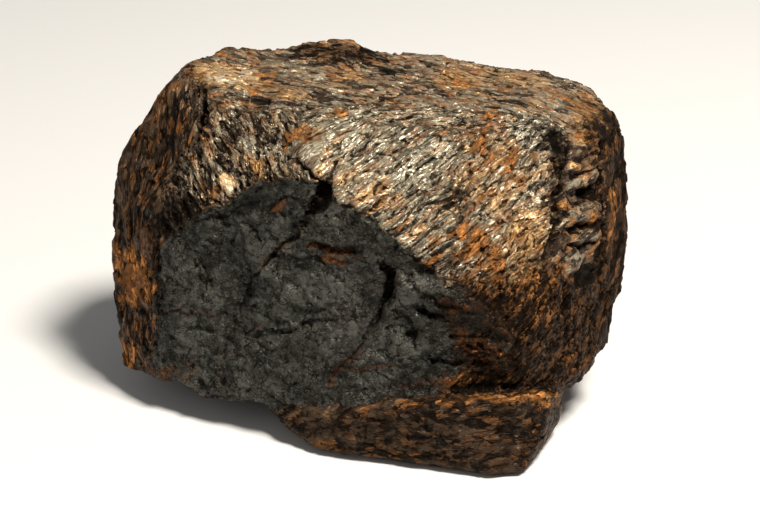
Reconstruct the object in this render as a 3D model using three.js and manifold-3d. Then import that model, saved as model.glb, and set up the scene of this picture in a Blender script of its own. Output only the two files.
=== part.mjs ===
// A hand specimen of magnetite: one natural lump of massive, fibrous ore, broken from the vein.
//
// The lump stands on a flat base. It has a tilted crown on top, a striated flank that falls from
// the crown to a sharp brow, a fresh fracture below the brow, a foot that juts out under the
// fracture, a stepped right side and a rough back. Deep cracks run across the fracture. The whole
// lump is one solid, in millimetres, +Z up, with its front towards -Y, and the origin is the middle
// of the base of its bounding box.
import * as THREE from "three";
import { ConvexGeometry } from "three/addons/geometries/ConvexGeometry.js";
import { ImprovedNoise } from "three/addons/math/ImprovedNoise.js";
import { mergeVertices } from "three/addons/utils/BufferGeometryUtils.js";
import Module from "manifold-3d";

// ---- Driving dimensions, in millimetres ----
const LONGEST_EDGE = 3.3; // no triangle side is longer before the surface is roughened
const SHORTEST_EDGE = 1; // sides shorter than this are closed up where the shape allows it
const SAME_POINT = 1e-4; // corners nearer than this are one corner
const LEAST_TURN = 0.6; // cosine of the most that a triangle may turn when a side beside it is closed up
const BASE_Z = -28; // height of the flat base, in the frame that the corners below are given in
const BASE_BLEND = 3; // the roughening grows from nothing to full over this height above the base
const FRONT_TILT_DEG = 25; // the front marks are laid out on a plane that leans back by this much
const PLANE_REACH = 200; // the layout planes stand this far out from the lump's middle
const HALF_SIZE = new THREE.Vector3(41, 28, 27); // about half the lump's width, depth and height

// ---- Roughness: swells, each of a size and height, with a shift so that no two are alike ----
const LUMP = { size: 13, height: 0.9, shift: 0.4 }; // broad swells of the surface
const KNOB = { size: 5.2, height: 0.42, shift: 7.3 }; // smaller knobs and pits
const LAYER_SWAY = { size: 19, height: 0.9, shift: 3.7 }; // how the layers wander, in layers
const LAYER = { thickness: 5, step: 0.3, tread: 0.15 }; // ledges where the ore parts, with flat treads
const LAYER_NORMAL = new THREE.Vector3(-0.5, 0.25, 0.83).normalize();

// ---- Finish ----
const ORE = { color: 0x4a3a2c, roughness: 0.55, metalness: 0.35 };

// ---- Corners of the lump, each [x, y, z] from a point near its middle ----
const BLOCK = {
  crownRim: [
    [-30.6, 18.3, 25], [-22.4, 25.5, 24], [-9.8, 33, 21.7], [4, 35.4, 19.5],
    [16.4, 35.7, 18], [27, 34, 16.7], [34.5, 29.6, 16.4], [38, 23.2, 14.8],
  ],
  crownFront: [
    [-27.2, 10.2, 24.3], [-15.4, 5.4, 23.6], [-4.6, 3.5, 23.1], [12.2, 2.4, 21.8], [25.4, 4.1, 18.2],
  ],
  brow: [
    [-34.5, 2.5, 5.4], [-27.7, -1.2, 9.2], [-18.5, -5.6, 13.9], [-7.5, -11.3, 16.1],
    [2.2, -14.2, 9.4], [12, -16, 1.1], [21.2, -15.8, -7.9], [28.1, -11.7, -15.7],
  ],
  fractureFoot: [
    [-34.9, 0, -22.2], [-24.3, -5.6, -23], [-17.9, -8.9, -21.4],
    [-7.7, -12.2, -20.2], [7.7, -14.3, -18.9], [23.1, -13.8, -17.7],
  ],
  rightRidge: [[27.3, 3.1, 16.1], [27, -7, 6.4], [25.9, -11.2, -2.6]],
  rightSide: [
    [38.4, 16.7, 12.3], [39.6, 12.1, 4.6], [38.5, 6.1, -5.7],
    [36.7, 2.1, -14.4], [33.1, -2.1, -18.7], [29.2, -7.1, -19.9],
  ],
  leftSide: [
    [-33.2, 19.7, 20.9], [-41.8, 17, 8.2], [-42.7, 15.4, 2.3],
    [-43.1, 11.8, -10.2], [-42.4, 9.2, -20.6], [-40.8, 7.8, -23.5],
  ],
  back: [
    [-34, 29, 13], [-40, 28, 3], [-39.5, 27, -13], [-35, 25, -22], [-15, 36.5, 1], [-8, 34, -25.5],
    [17, 37.2, 2], [22, 33, -25.5], [36.5, 25, -3], [33.5, 20, -25],
  ],
};
const CROWN_LEDGE = {
  top: [[-12.6, 31, 22.9], [-8.4, 33.6, 22.7], [-4.6, 33.4, 22.3], [-4, 25.5, 23.1], [-9, 24.8, 23.5]],
  root: [[-20, 28, 17], [-8, 34, 15], [4, 33.5, 15], [0, 20, 18], [-14, 18, 18]],
};
const FOOT = {
  ledge: [
    [-12.3, -12.4, -21.8], [-6.1, -15.6, -19.9], [7.6, -18.9, -17.1], [20.4, -18.5, -16.1],
    [27.8, -13.5, -17.1],
  ],
  skirt: [
    [-18.1, -7, -22.8], [-14.8, -11.2, -25.4], [-9.3, -14.8, -26.8], [3.1, -17.6, -26.9],
    [16.8, -21.8, -27], [21.8, -21.4, -27], [25.9, -14.2, -26.2], [28.2, -9, -23.4],
  ],
  base: [
    [-14.6, -1, BASE_Z], [-9, -11.4, BASE_Z], [3.1, -15.8, BASE_Z], [16.8, -20.2, BASE_Z],
    [21.2, -19.6, BASE_Z], [24.8, -11, BASE_Z], [29, 16, BASE_Z], [20, 31, BASE_Z],
    [-8, 31.5, BASE_Z], [-19, 18, BASE_Z],
  ],
  root: [[29, 4, -16], [30, 22, -16], [22, 33, -18], [-8, 34, -18], [-26, 22, -20], [-19, 0, -18]],
};
// Shallow hollows where flakes have sprung off: a ball of this radius bites this deep at a point.
const HOLLOWS = [
  { at: [32.5, 3.5, 10], facing: [0.76, -0.5, 0.4], radius: 13, bite: 2.4 }, // beside the right ridge
  { at: [34.5, -1, -9], facing: [0.8, -0.58, 0.1], radius: 22, bite: 1.6 }, // below it
  { at: [-33.5, 9, 14], facing: [-0.8, -0.5, 0.4], radius: 26, bite: 1.6 }, // left shoulder
  { at: [6, 37, 4], facing: [0.1, 1, 0.1], radius: 24, bite: 3.2 }, // upper back
  { at: [-26, 33, -10], facing: [-0.35, 0.93, -0.1], radius: 20, bite: 2.6 }, // back, left
  { at: [37, 22, -8], facing: [0.9, 0.4, -0.1], radius: 24, bite: 2.2 }, // back, right
];

// ---- Marks cut into the front: [across, up, width, depth] along each line of the front plane ----
const CRACKS = {
  mainFissure: [
    [-4.8, 15.8, 0.6, 0.6], [-6.3, 14.1, 0.9, 1], [-7.4, 12, 1.4, 1.8], [-8.3, 10.4, 2.2, 2.6],
    [-9.7, 7.4, 2.8, 3.2], [-11.8, 4.8, 1.8, 2.2], [-14.3, 1.9, 1, 1.4], [-16.9, -0.6, 1.3, 1.5],
    [-19.3, -3, 0.8, 1], [-20.5, -6, 0.9, 1], [-22.2, -10, 0.5, 0.6],
  ],
  branch: [[-13.5, 14.8, 0.8, 0.8], [-10.7, 12, 1, 1.2], [-7.8, 10.6, 1, 1.4]],
  stepGroove: [
    [-0.3, -1.3, 1.2, 1], [1.8, -2.8, 2.6, 2.6], [1.5, -5.8, 2.4, 2.5], [-0.1, -9.2, 1.8, 1.9],
    [-2, -12.8, 1.2, 1.3], [-4.7, -16.3, 1.1, 1.2], [-8.1, -19.8, 0.7, 0.8],
  ],
  upperSlit: [[-10.6, 1.2, 1, 0.8], [-7, 0.9, 1.4, 1.1], [-3.4, 0.1, 1, 0.8]],
  seam: [
    [-22.4, -11, 0.8, 0.6], [-19.4, -12.2, 1.2, 0.9], [-16.3, -12.7, 1.2, 1], [-10.9, -10.7, 1, 0.8],
    [-5.4, -10, 0.8, 0.6],
  ],
  slit: [
    [6.7, -17, 0.8, 1], [9.9, -16.7, 1.5, 2], [12.5, -16.8, 1.2, 1.6], [15.2, -17.2, 1.4, 1.8],
    [18.3, -17.3, 0.8, 0.9],
  ],
  upperPit: [[5.8, -9, 1.6, 1.4], [9.2, -10.2, 1.2, 1]],
  lowerPit: [[4, -10.9, 1.8, 1.5], [5, -13.6, 1.5, 1.3]],
  rightFurrow: [
    [28.1, 20.1, 1, 0.7], [28.5, 15.9, 3, 2.1], [27.7, 11, 2, 1.5], [27.4, 5, 1.8, 1.4],
    [27, 1, 1.4, 1], [25.6, -1.6, 1, 0.6],
  ],
  upperLedge: [[28.6, 8.9, 1.8, 1.1], [31.3, 9.9, 2.4, 1.6], [35, 11.6, 1.4, 0.8]],
  middleLedge: [[28, 2.4, 1.4, 0.9], [31.1, 3.3, 2.2, 1.4], [34.6, 4.9, 1.4, 0.8]],
  lowerLedge: [[28.4, -3.4, 1.2, 0.8], [31.6, -3.3, 2, 1.2], [34.8, -1.8, 1.2, 0.7]],
  leftFurrow: [[-27.5, 25, 1.4, 1], [-27.4, 21.2, 2.4, 1.9], [-28.8, 15.8, 1.2, 0.9]],
};
const BACK_CRACKS = {
  backFissure: [
    [-20, 14, 0.8, 0.8], [-12, 9, 2, 2], [-7, 1, 2.4, 2.4], [1, -6, 1.8, 1.8], [4, -15, 1, 1],
  ],
  backLedge: [[8, 12, 1.2, 1], [17, 7, 3, 2], [28, 5, 2, 1.2]],
  backSlit: [[-30, -8, 1, 0.9], [-22, -9.5, 1.8, 1.6], [-12, -8.6, 1, 0.9]],
};
const WEDGE_RISE = 1.2; // how far a cutting wedge stands above the surface it cuts
const WEDGE_LEAN = 0.5; // a wedge points this far from the surface's own normal towards its plane's

const wasm = await Module();
wasm.setup();

const vector = (p) => new THREE.Vector3(...p);
const halfway = (a, b) => a.clone().lerp(b, 0.5);
const cornersOf = (group) => Object.values(group).flat().map(vector);

// A closed geometry as a solid that can be joined and cut.
function solidOf(geometry) {
  geometry.deleteAttribute("normal");
  geometry.deleteAttribute("uv");
  const merged = mergeVertices(geometry, SAME_POINT);
  return new wasm.Manifold(
    new wasm.Mesh({
      numProp: 3,
      vertProperties: merged.attributes.position.array,
      triVerts: new Uint32Array(merged.index.array),
    }),
  );
}

const hullSolid = (points) => solidOf(new ConvexGeometry(points));

// A solid as an indexed three.js geometry.
function geometryOf(solid) {
  const { vertProperties, triVerts } = solid.getMesh();
  return new THREE.BufferGeometry()
    .setAttribute("position", new THREE.BufferAttribute(new Float32Array(vertProperties), 3))
    .setIndex(new THREE.BufferAttribute(new Uint32Array(triVerts), 1));
}

// A plane that marks are laid out on: across and up are its axes, and facing points out of the lump.
function layoutPlane(turnDeg, tiltDeg) {
  const turn = THREE.MathUtils.degToRad(turnDeg);
  const tilt = THREE.MathUtils.degToRad(tiltDeg);
  const across = new THREE.Vector3(Math.cos(turn), Math.sin(turn), 0);
  const level = new THREE.Vector3(Math.sin(turn), -Math.cos(turn), 0);
  const facing = level.multiplyScalar(Math.cos(tilt)).setZ(Math.sin(tilt));
  return { across, facing, up: new THREE.Vector3().crossVectors(facing, across) };
}

// The point and outward normal where a layout plane's [across, up] falls on the surface.
function seatOn(surface, { across, up, facing }, [a, u]) {
  const start = facing.clone().multiplyScalar(PLANE_REACH).addScaledVector(across, a).addScaledVector(up, u);
  const [hit] = new THREE.Raycaster(start, facing.clone().negate()).intersectObject(surface);
  return hit && { point: hit.point, normal: hit.face.normal.clone().lerp(facing, WEDGE_LEAN).normalize() };
}

// The wedges that cut one crack. Each is a hull with its mouth above the surface and its edge below.
function crackWedges(surface, plane, line) {
  const stops = line
    .map((stop) => ({ ...seatOn(surface, plane, stop), width: stop[2], depth: stop[3] }))
    .filter((stop) => stop.point);
  return stops.slice(1).map((end, i) => {
    const start = stops[i];
    const along = end.point.clone().sub(start.point).normalize();
    return hullSolid(
      [start, end].flatMap(({ point, normal, width, depth }) => {
        const side = new THREE.Vector3().crossVectors(normal, along).normalize();
        const mouth = point.clone().addScaledVector(normal, WEDGE_RISE);
        const halfMouth = (width / 2) * (1 + WEDGE_RISE / depth);
        return [
          mouth.clone().addScaledVector(side, halfMouth),
          mouth.clone().addScaledVector(side, -halfMouth),
          point.clone().addScaledVector(normal, -depth),
        ];
      }),
    );
  });
}

// The ball that bites one hollow.
function hollowBall({ at, facing, radius, bite }) {
  const centre = vector(at).addScaledVector(vector(facing).normalize(), radius - bite);
  const ball = new THREE.IcosahedronGeometry(radius, Math.round(radius / LONGEST_EDGE));
  return solidOf(ball.translate(...centre));
}

// Splits the longest side of every triangle where it is over `longest`, on both triangles that share
// it, until none is. Cutting only longest sides turns slivers into well shaped triangles.
function refined(geometry, longest) {
  const points = Array.from({ length: geometry.attributes.position.count }, (_, i) =>
    new THREE.Vector3().fromBufferAttribute(geometry.attributes.position, i),
  );
  let triangles = Array.from({ length: geometry.index.count / 3 }, (_, i) =>
    [0, 1, 2].map((k) => geometry.index.getX(3 * i + k)),
  );
  const keyOf = (a, b) => Math.min(a, b) + "_" + Math.max(a, b);
  for (;;) {
    const middles = new Map();
    for (const triangle of triangles) {
      const lengths = triangle.map((a, k) => points[a].distanceTo(points[triangle[(k + 1) % 3]]));
      const k = lengths.indexOf(Math.max(...lengths));
      const [a, b] = [triangle[k], triangle[(k + 1) % 3]];
      if (lengths[k] > longest && !middles.has(keyOf(a, b)))
        middles.set(keyOf(a, b), points.push(halfway(points[a], points[b])) - 1);
    }
    if (middles.size === 0) return { points, triangles };
    const middleOf = (a, b) => middles.get(keyOf(a, b)) ?? null;
    triangles = triangles.flatMap((triangle) => splitTriangle(triangle, middleOf, points));
  }
}

// One triangle cut at the middles of its long sides, as one to four triangles.
function splitTriangle(triangle, middleOf, points) {
  const middles = triangle.map((a, k) => middleOf(a, triangle[(k + 1) % 3]));
  const cuts = middles.filter((m) => m !== null).length;
  if (cuts === 0) return [triangle];
  const first = cuts === 1 ? middles.findIndex((m) => m !== null) : (middles.indexOf(null) + 1) % 3;
  const [a, b, c] = [0, 1, 2].map((k) => triangle[(first + k) % 3]);
  const [ab, bc, ca] = [0, 1, 2].map((k) => middles[(first + k) % 3]);
  if (cuts === 1) return [[a, ab, c], [ab, b, c]];
  if (cuts === 3) return [[a, ab, ca], [ab, b, bc], [ca, bc, c], [ab, bc, ca]];
  const shortWay = points[ab].distanceTo(points[c]) < points[a].distanceTo(points[bc]);
  return [[ab, b, bc], ...(shortWay ? [[a, ab, c], [ab, bc, c]] : [[a, ab, bc], [a, bc, c]])];
}

// Which triangles meet at each vertex.
function fansOf(points, triangles) {
  const fans = points.map(() => []);
  triangles.forEach((triangle, i) => triangle.forEach((v) => fans[v].push(i)));
  return fans;
}

// Joins the two ends of every side shorter than `shortest`, where the surface stays closed and no
// triangle turns over. This clears the slivers that joining and cutting leave along their seams.
function cleaned({ points, triangles }, shortest) {
  const facing = (corners) => new THREE.Triangle(...corners).getNormal(new THREE.Vector3());
  const onBase = (v) => points[v].z === BASE_Z;
  for (let joinedAny = true; joinedAny; ) {
    joinedAny = false;
    const fans = fansOf(points, triangles);
    const ring = (v) => new Set(fans[v].flatMap((i) => triangles[i]));
    const settled = new Set();
    const gone = new Set();
    for (const triangle of triangles) {
      for (const k of [0, 1, 2]) {
        const [a, b] = [triangle[k], triangle[(k + 1) % 3]];
        const near = ring(a);
        const nearB = ring(b);
        if (points[a].distanceTo(points[b]) >= shortest || settled.has(a) || settled.has(b)) continue;
        if ([...near].filter((v) => nearB.has(v)).length !== 4) continue;
        const alike = onBase(a) === onBase(b);
        const keep = alike ? halfway(points[a], points[b]) : points[onBase(a) ? a : b].clone();
        const fan = [...new Set([...fans[a], ...fans[b]])];
        const staying = fan.filter((i) => !(triangles[i].includes(a) && triangles[i].includes(b)));
        const turnsOver = staying.some((i) => {
          const before = triangles[i].map((v) => points[v]);
          const after = triangles[i].map((v) => (v === a || v === b ? keep : points[v]));
          return facing(before).dot(facing(after)) < LEAST_TURN;
        });
        if (turnsOver) continue;
        fan.filter((i) => !staying.includes(i)).forEach((i) => gone.add(i));
        staying.forEach((i) => (triangles[i] = triangles[i].map((v) => (v === b ? a : v))));
        points[a].copy(keep);
        [...near, ...nearB].forEach((v) => settled.add(v));
        joinedAny = true;
        break;
      }
    }
    triangles = triangles.filter((_, i) => !gone.has(i));
  }
  const used = [...new Set(triangles.flat())];
  const place = new Map(used.map((v, i) => [v, i]));
  return {
    points: used.map((v) => points[v]),
    triangles: triangles.map((triangle) => triangle.map((v) => place.get(v))),
  };
}

// How far the rough surface stands off the plain one at a point, in millimetres.
const noise = new ImprovedNoise();
function swell({ x, y, z }, { size, height, shift }) {
  return height * noise.noise(x / size + shift, y / size - shift, z / size + 2 * shift);
}
function roughness(p) {
  const layer = p.dot(LAYER_NORMAL) / LAYER.thickness + swell(p, LAYER_SWAY);
  const riser = THREE.MathUtils.smoothstep(layer - Math.floor(layer), LAYER.tread, 1 - LAYER.tread);
  return swell(p, LUMP) + swell(p, KNOB) + LAYER.step * (riser - 0.5);
}

// A refined surface as one closed geometry.
const geometryFrom = ({ points, triangles }) =>
  new THREE.BufferGeometry().setFromPoints(points).setIndex(triangles.flat());

// ---- The lump: block, crown ledge and foot in one, cut by the cracks, then roughened ----
const [body, ...added] = [BLOCK, CROWN_LEDGE, FOOT].map((group) => hullSolid(cornersOf(group)));
const joined = added.reduce((solid, piece) => solid.add(piece), body);
const block = HOLLOWS.map(hollowBall).reduce((solid, ball) => solid.subtract(ball), joined);
const even = solidOf(geometryFrom(refined(geometryOf(block), LONGEST_EDGE)));
const plain = new THREE.Mesh(geometryOf(even));
const cutters = [
  [CRACKS, layoutPlane(0, FRONT_TILT_DEG)],
  [BACK_CRACKS, layoutPlane(180, 0)],
].flatMap(([cracks, plane]) => Object.values(cracks).flatMap((line) => crackWedges(plain, plane, line)));
const cracked = cutters.reduce((solid, wedge) => solid.subtract(wedge), even);

const surface = cleaned(refined(geometryOf(cracked), LONGEST_EDGE), SHORTEST_EDGE);
for (const p of surface.points) {
  const outward = p.clone().divide(HALF_SIZE).divide(HALF_SIZE).normalize();
  const above = THREE.MathUtils.smoothstep(p.z, BASE_Z, BASE_Z + BASE_BLEND);
  p.addScaledVector(outward, roughness(p) * above);
}

const geometry = geometryFrom(surface);
geometry.computeVertexNormals();
geometry.computeBoundingBox();
const { min, max } = geometry.boundingBox;
geometry.translate(-(min.x + max.x) / 2, -(min.y + max.y) / 2, -min.z);

const magnetite = new THREE.Mesh(geometry, new THREE.MeshStandardMaterial(ORE));
magnetite.name = "magnetite_block";
const specimen = new THREE.Group();
specimen.add(magnetite);
export default specimen;
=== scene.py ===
"""A hand specimen of magnetite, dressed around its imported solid.

The specimen is one natural lump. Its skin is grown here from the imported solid: remeshed, smoothed, then
roughened with fibres, shingles, flat cleavage facets, ledges and cracks, and coloured with a procedural
finish that follows attributes painted on the skin. The carving works in millimetres and the finished skin
is in metres, in the same frame as the solid.
"""
import itertools
import logging
import math
from dataclasses import dataclass, field
from enum import Enum

import bmesh
import bpy
import numpy as np
from mathutils import Matrix, Vector


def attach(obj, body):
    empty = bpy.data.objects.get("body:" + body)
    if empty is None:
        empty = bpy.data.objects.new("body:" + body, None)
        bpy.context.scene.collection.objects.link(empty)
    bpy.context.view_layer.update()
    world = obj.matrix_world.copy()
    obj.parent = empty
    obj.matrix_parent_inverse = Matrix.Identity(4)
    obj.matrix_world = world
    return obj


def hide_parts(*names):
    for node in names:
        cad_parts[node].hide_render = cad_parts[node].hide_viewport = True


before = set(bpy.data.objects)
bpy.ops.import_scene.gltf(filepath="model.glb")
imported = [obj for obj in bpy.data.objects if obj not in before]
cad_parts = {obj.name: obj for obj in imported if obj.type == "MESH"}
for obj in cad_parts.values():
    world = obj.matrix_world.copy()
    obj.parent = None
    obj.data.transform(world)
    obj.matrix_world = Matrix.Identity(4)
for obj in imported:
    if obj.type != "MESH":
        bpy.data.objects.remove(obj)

LOG = logging.getLogger("magnetite")
MM = 0.001  # metres in a millimetre
NODE = "magnetite_block"

Array = np.ndarray
Triple = tuple[float, float, float]


# ---- Shader trees --------


class Wire:
    """One value in a shader tree. Arithmetic on wires adds Math nodes."""

    def __init__(self, tree: "Tree", socket: bpy.types.NodeSocket) -> None:
        """Wraps an output socket of a tree."""
        self.tree = tree
        self.socket = socket

    def _math(self, operation: str, *operands: "Wire | float") -> "Wire":
        """Adds one Math node on the operands."""
        return self.tree.node("ShaderNodeMath", {"operation": operation}, dict(enumerate(operands)))

    def __add__(self, other: "Wire | float") -> "Wire":
        """Sum."""
        return self._math("ADD", self, other)

    def __radd__(self, other: float) -> "Wire":
        """Sum with a plain number on the left."""
        return self._math("ADD", other, self)

    def __sub__(self, other: "Wire | float") -> "Wire":
        """Difference."""
        return self._math("SUBTRACT", self, other)

    def __rsub__(self, other: float) -> "Wire":
        """Difference with a plain number on the left."""
        return self._math("SUBTRACT", other, self)

    def __mul__(self, other: "Wire | float") -> "Wire":
        """Product."""
        return self._math("MULTIPLY", self, other)

    def __rmul__(self, other: float) -> "Wire":
        """Product with a plain number on the left."""
        return self._math("MULTIPLY", other, self)

    def size(self) -> "Wire":
        """The value without its sign."""
        return self._math("ABSOLUTE", self)

    def rising(self, low: float, high: float) -> "Wire":
        """A smooth step from 0 at low to 1 at high; with high below low, it falls."""
        ends = {1: low, 2: high} if low < high else {1: high, 2: low, 3: 1.0, 4: 0.0}
        settings = {"interpolation_type": "SMOOTHSTEP"}
        return self.tree.node("ShaderNodeMapRange", settings, {0: self, **ends})


class Tree:
    """A material's shader tree, with one method that adds any node."""

    def __init__(self, name: str) -> None:
        """Starts a material with a Principled shader.

        Args:
            name: the material's name.
        """
        self.material = bpy.data.materials.new(name)
        self.material.use_nodes = True
        self.nodes = self.material.node_tree.nodes
        self.shader = self.nodes["Principled BSDF"]

    def node(self, kind: str, settings: dict[str, object], inputs: dict[str | int, object],
             output: str | int = 0) -> Wire:
        """Adds a node.

        Args:
            kind: the node's type.
            settings: its properties, set before its sockets.
            inputs: plain values or wires, by socket name or number.
            output: the output socket that is wanted.

        Returns:
            That output.
        """
        made = self.nodes.new(kind)
        for name, value in settings.items():
            setattr(made, name, value)
        for key, value in inputs.items():
            self.feed(made.inputs[key], value)
        return Wire(self, made.outputs[output])

    def feed(self, socket: bpy.types.NodeSocket, value: object) -> None:
        """Sets a socket to a plain value, or links a wire to it.

        Args:
            socket: an input socket of the tree.
            value: a number, a tuple or a wire.
        """
        if isinstance(value, Wire):
            self.material.node_tree.links.new(value.socket, socket)
        else:
            socket.default_value = value

    def painted(self, name: str, output: str = "Fac") -> Wire:
        """Reads an attribute that is painted on the skin."""
        return self.node("ShaderNodeAttribute", {"attribute_name": name}, {}, output)

    def blend(self, share: "Wire | float", first: "Wire | Triple", second: "Wire | Triple") -> Wire:
        """Mixes two colours by the share of the second one that shows."""
        sockets = {0: share, 6: _rgba(first), 7: _rgba(second)}
        return self.node("ShaderNodeMix", {"data_type": "RGBA", "clamp_factor": True}, sockets, 2)

    def vector(self, operation: str, *operands: "Wire | Triple", output: str = "Vector") -> Wire:
        """Adds one Vector Math node on the operands."""
        inputs = dict(enumerate(operands))
        return self.node("ShaderNodeVectorMath", {"operation": operation}, inputs, output)

    def noise(self, vector: Wire, sizes: Triple, detail: float, roughness: float) -> Wire:
        """Adds soft noise.

        Args:
            vector: the place.
            sizes: how long one feature is along each axis.
            detail: how many finer layers the noise has.
            roughness: how strong each finer layer is.

        Returns:
            The noise, between about 0.2 and 0.8.
        """
        place = self.vector("DIVIDE", vector, sizes)
        sockets = {"Vector": place, "Scale": 1.0, "Detail": detail, "Roughness": roughness}
        return self.node("ShaderNodeTexNoise", {}, sockets)


def _rgba(colour: "Wire | Triple") -> object:
    """An RGB triple as RGBA; a wire is passed through."""
    return colour if isinstance(colour, Wire) else (*colour, 1.0)


# ---- Noise and steps on arrays of points --------


def smooth_step(value: Array, low: float, high: float) -> Array:
    """A smooth step from 0 at low to 1 at high; with high below low, it falls."""
    share = np.clip((value - low) / (high - low), 0.0, 1.0)
    return share * share * (3.0 - 2.0 * share)


class Grit:
    """Seeded solid noise, evaluated on arrays of points."""

    CELLS = 256  # how many cells there are before the noise repeats
    INSET = 0.1  # how far the middle of a facet stays from the walls of its cell
    GAIN = 1.6  # brings soft noise to between about -1 and 1
    SHARPNESS = 1.6  # how fast a ridge falls away from its crest

    def __init__(self, seed: int) -> None:
        """Draws the slopes and offsets that the noise is made from.

        Args:
            seed: the same seed always gives the same noise.
        """
        draw = np.random.default_rng(seed)
        self.order = np.tile(draw.permutation(self.CELLS), 3)
        slopes = draw.normal(size=(self.CELLS, 3))
        self.slopes = slopes / np.linalg.norm(slopes, axis=1, keepdims=True)
        self.offsets = draw.uniform(self.INSET, 1.0 - self.INSET, size=(self.CELLS, 3))

    def _key(self, cell: Array) -> Array:
        """A number under CELLS for each whole-number cell."""
        x, y, z = (cell % self.CELLS).T
        return self.order[self.order[self.order[x] + y] + z]

    def soft(self, points: Array) -> Array:
        """Gradient noise with a feature in each unit of space.

        Args:
            points: places, one row each.

        Returns:
            The noise at each place, between about -1 and 1.
        """
        cell = np.floor(points).astype(np.int64)
        inside = points - cell
        fade = inside**3 * (inside * (inside * 6.0 - 15.0) + 10.0)
        total = np.zeros(len(points))
        for corner in itertools.product((0, 1), repeat=3):
            slope = self.slopes[self._key(cell + corner)]
            weight = np.prod(np.where(corner, fade, 1.0 - fade), axis=1)
            total += weight * ((inside - corner) * slope).sum(axis=1)
        return total * self.GAIN

    def ridges(self, points: Array) -> Array:
        """Sharp crests of height 1, with soft valleys between them."""
        return 1.0 - np.abs(self.soft(points)) * self.SHARPNESS

    def facets(self, points: Array) -> Array:
        """Flat cells, each tilted its own way, like broken crystal faces.

        Args:
            points: places, one row each, with a cell in each unit of space.

        Returns:
            The height at each place.
        """
        cell = np.floor(points).astype(np.int64)
        nearest = np.full(len(points), np.inf)
        height = np.zeros(len(points))
        for corner in itertools.product((-1, 0, 1), repeat=3):
            key = self._key(cell + corner)
            reach = points - (cell + corner + self.offsets[key])
            distance = (reach**2).sum(axis=1)
            closer = distance < nearest
            nearest = np.where(closer, distance, nearest)
            height = np.where(closer, (reach * self.slopes[key]).sum(axis=1), height)
        return height


# ---- The sight plane: marks on the front are laid out as they are seen --------


@dataclass(frozen=True)
class Sight:
    """A plane through the lump's middle that marks are laid out on, in millimetres across and up.

    Attributes:
        middle: the point of the lump that lies at 0 across and 0 up.
        tilt_deg: how far the plane leans back, and the eye stands above the horizon.
        reach: the distance from the eye to the middle.
        grazing: how squarely a point faces the eye where marks start to show, and where they show fully.
    """

    middle: Triple = (1.80, -7.56, 28.0)
    tilt_deg: float = 25.0
    reach: float = 450.0
    grazing: tuple[float, float] = (0.02, 0.2)

    @property
    def across(self) -> Array:
        """The plane's first axis."""
        return np.array((1.0, 0.0, 0.0))

    @property
    def up(self) -> Array:
        """The plane's second axis."""
        tilt = math.radians(self.tilt_deg)
        return np.array((0.0, math.sin(tilt), math.cos(tilt)))

    @property
    def facing(self) -> Array:
        """The direction from the middle to the eye."""
        tilt = math.radians(self.tilt_deg)
        return np.array((0.0, -math.cos(tilt), math.sin(tilt)))

    @property
    def eye(self) -> Array:
        """Where the eye stands."""
        return np.array(self.middle) + self.reach * self.facing

    def lay(self, points: Array) -> Array:
        """Where points are seen on the plane.

        Args:
            points: places on the skin.

        Returns:
            Their across and up, one row each.
        """
        away = points - np.array(self.middle)
        spread = self.reach / (self.reach - away @ self.facing)
        return np.stack([away @ self.across * spread, away @ self.up * spread], axis=1)

    def toward(self, points: Array, normals: Array) -> Array:
        """How squarely each point faces the eye, from -1 to 1."""
        rays = self.eye - points
        return (rays * normals).sum(axis=1) / np.linalg.norm(rays, axis=1)

    def sees(self, points: Array, normals: Array) -> Array:
        """How fully marks show on each point, from 0 past the lump's edge to 1."""
        return smooth_step(self.toward(points, normals), *self.grazing)


def _distance_to_line(places: Array, line: Array) -> tuple[Array, Array]:
    """Measures places from a line of stops.

    Args:
        places: across and up, one row each.
        line: the stops, one row each.

    Returns:
        The distance of each place from the line, and the number, with a fraction, of the nearest stop.
    """
    best = np.full(len(places), np.inf)
    along = np.zeros(len(places))
    for i, (start, end) in enumerate(zip(line[:-1], line[1:])):
        step = end - start
        share = np.clip(((places - start) @ step) / (step @ step), 0.0, 1.0)
        distance = np.linalg.norm(places - (start + share[:, None] * step), axis=1)
        along = np.where(distance < best, i + share, along)
        best = np.minimum(best, distance)
    return best, along


@dataclass(frozen=True)
class Outline:
    """A closed outline on the sight plane.

    Attributes:
        corners: its corners, each (across, up).
        softness: the width over which its edge fades.
    """

    corners: tuple[tuple[float, float], ...]
    softness: float = 1.2

    def cover(self, places: Array, spread: float = 1.0) -> Array:
        """How far inside the outline each place lies.

        Args:
            places: across and up, one row each.
            spread: how many times wider than its softness the edge fades.

        Returns:
            1 well inside, 0.5 on the edge, 0 well outside.
        """
        ring = np.array((*self.corners, self.corners[0]))
        distance, _ = _distance_to_line(places, ring)
        x, y = places.T
        inside = np.zeros(len(places), dtype=bool)
        for (x0, y0), (x1, y1) in zip(ring[:-1], ring[1:]):
            crosses = (y0 > y) != (y1 > y)
            if y0 != y1:
                inside ^= crosses & (x < (x1 - x0) * (y - y0) / (y1 - y0) + x0)
        edge = self.softness * spread
        return smooth_step(np.where(inside, distance, -distance), -edge, edge)


# ---- Zones of the skin --------


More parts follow.
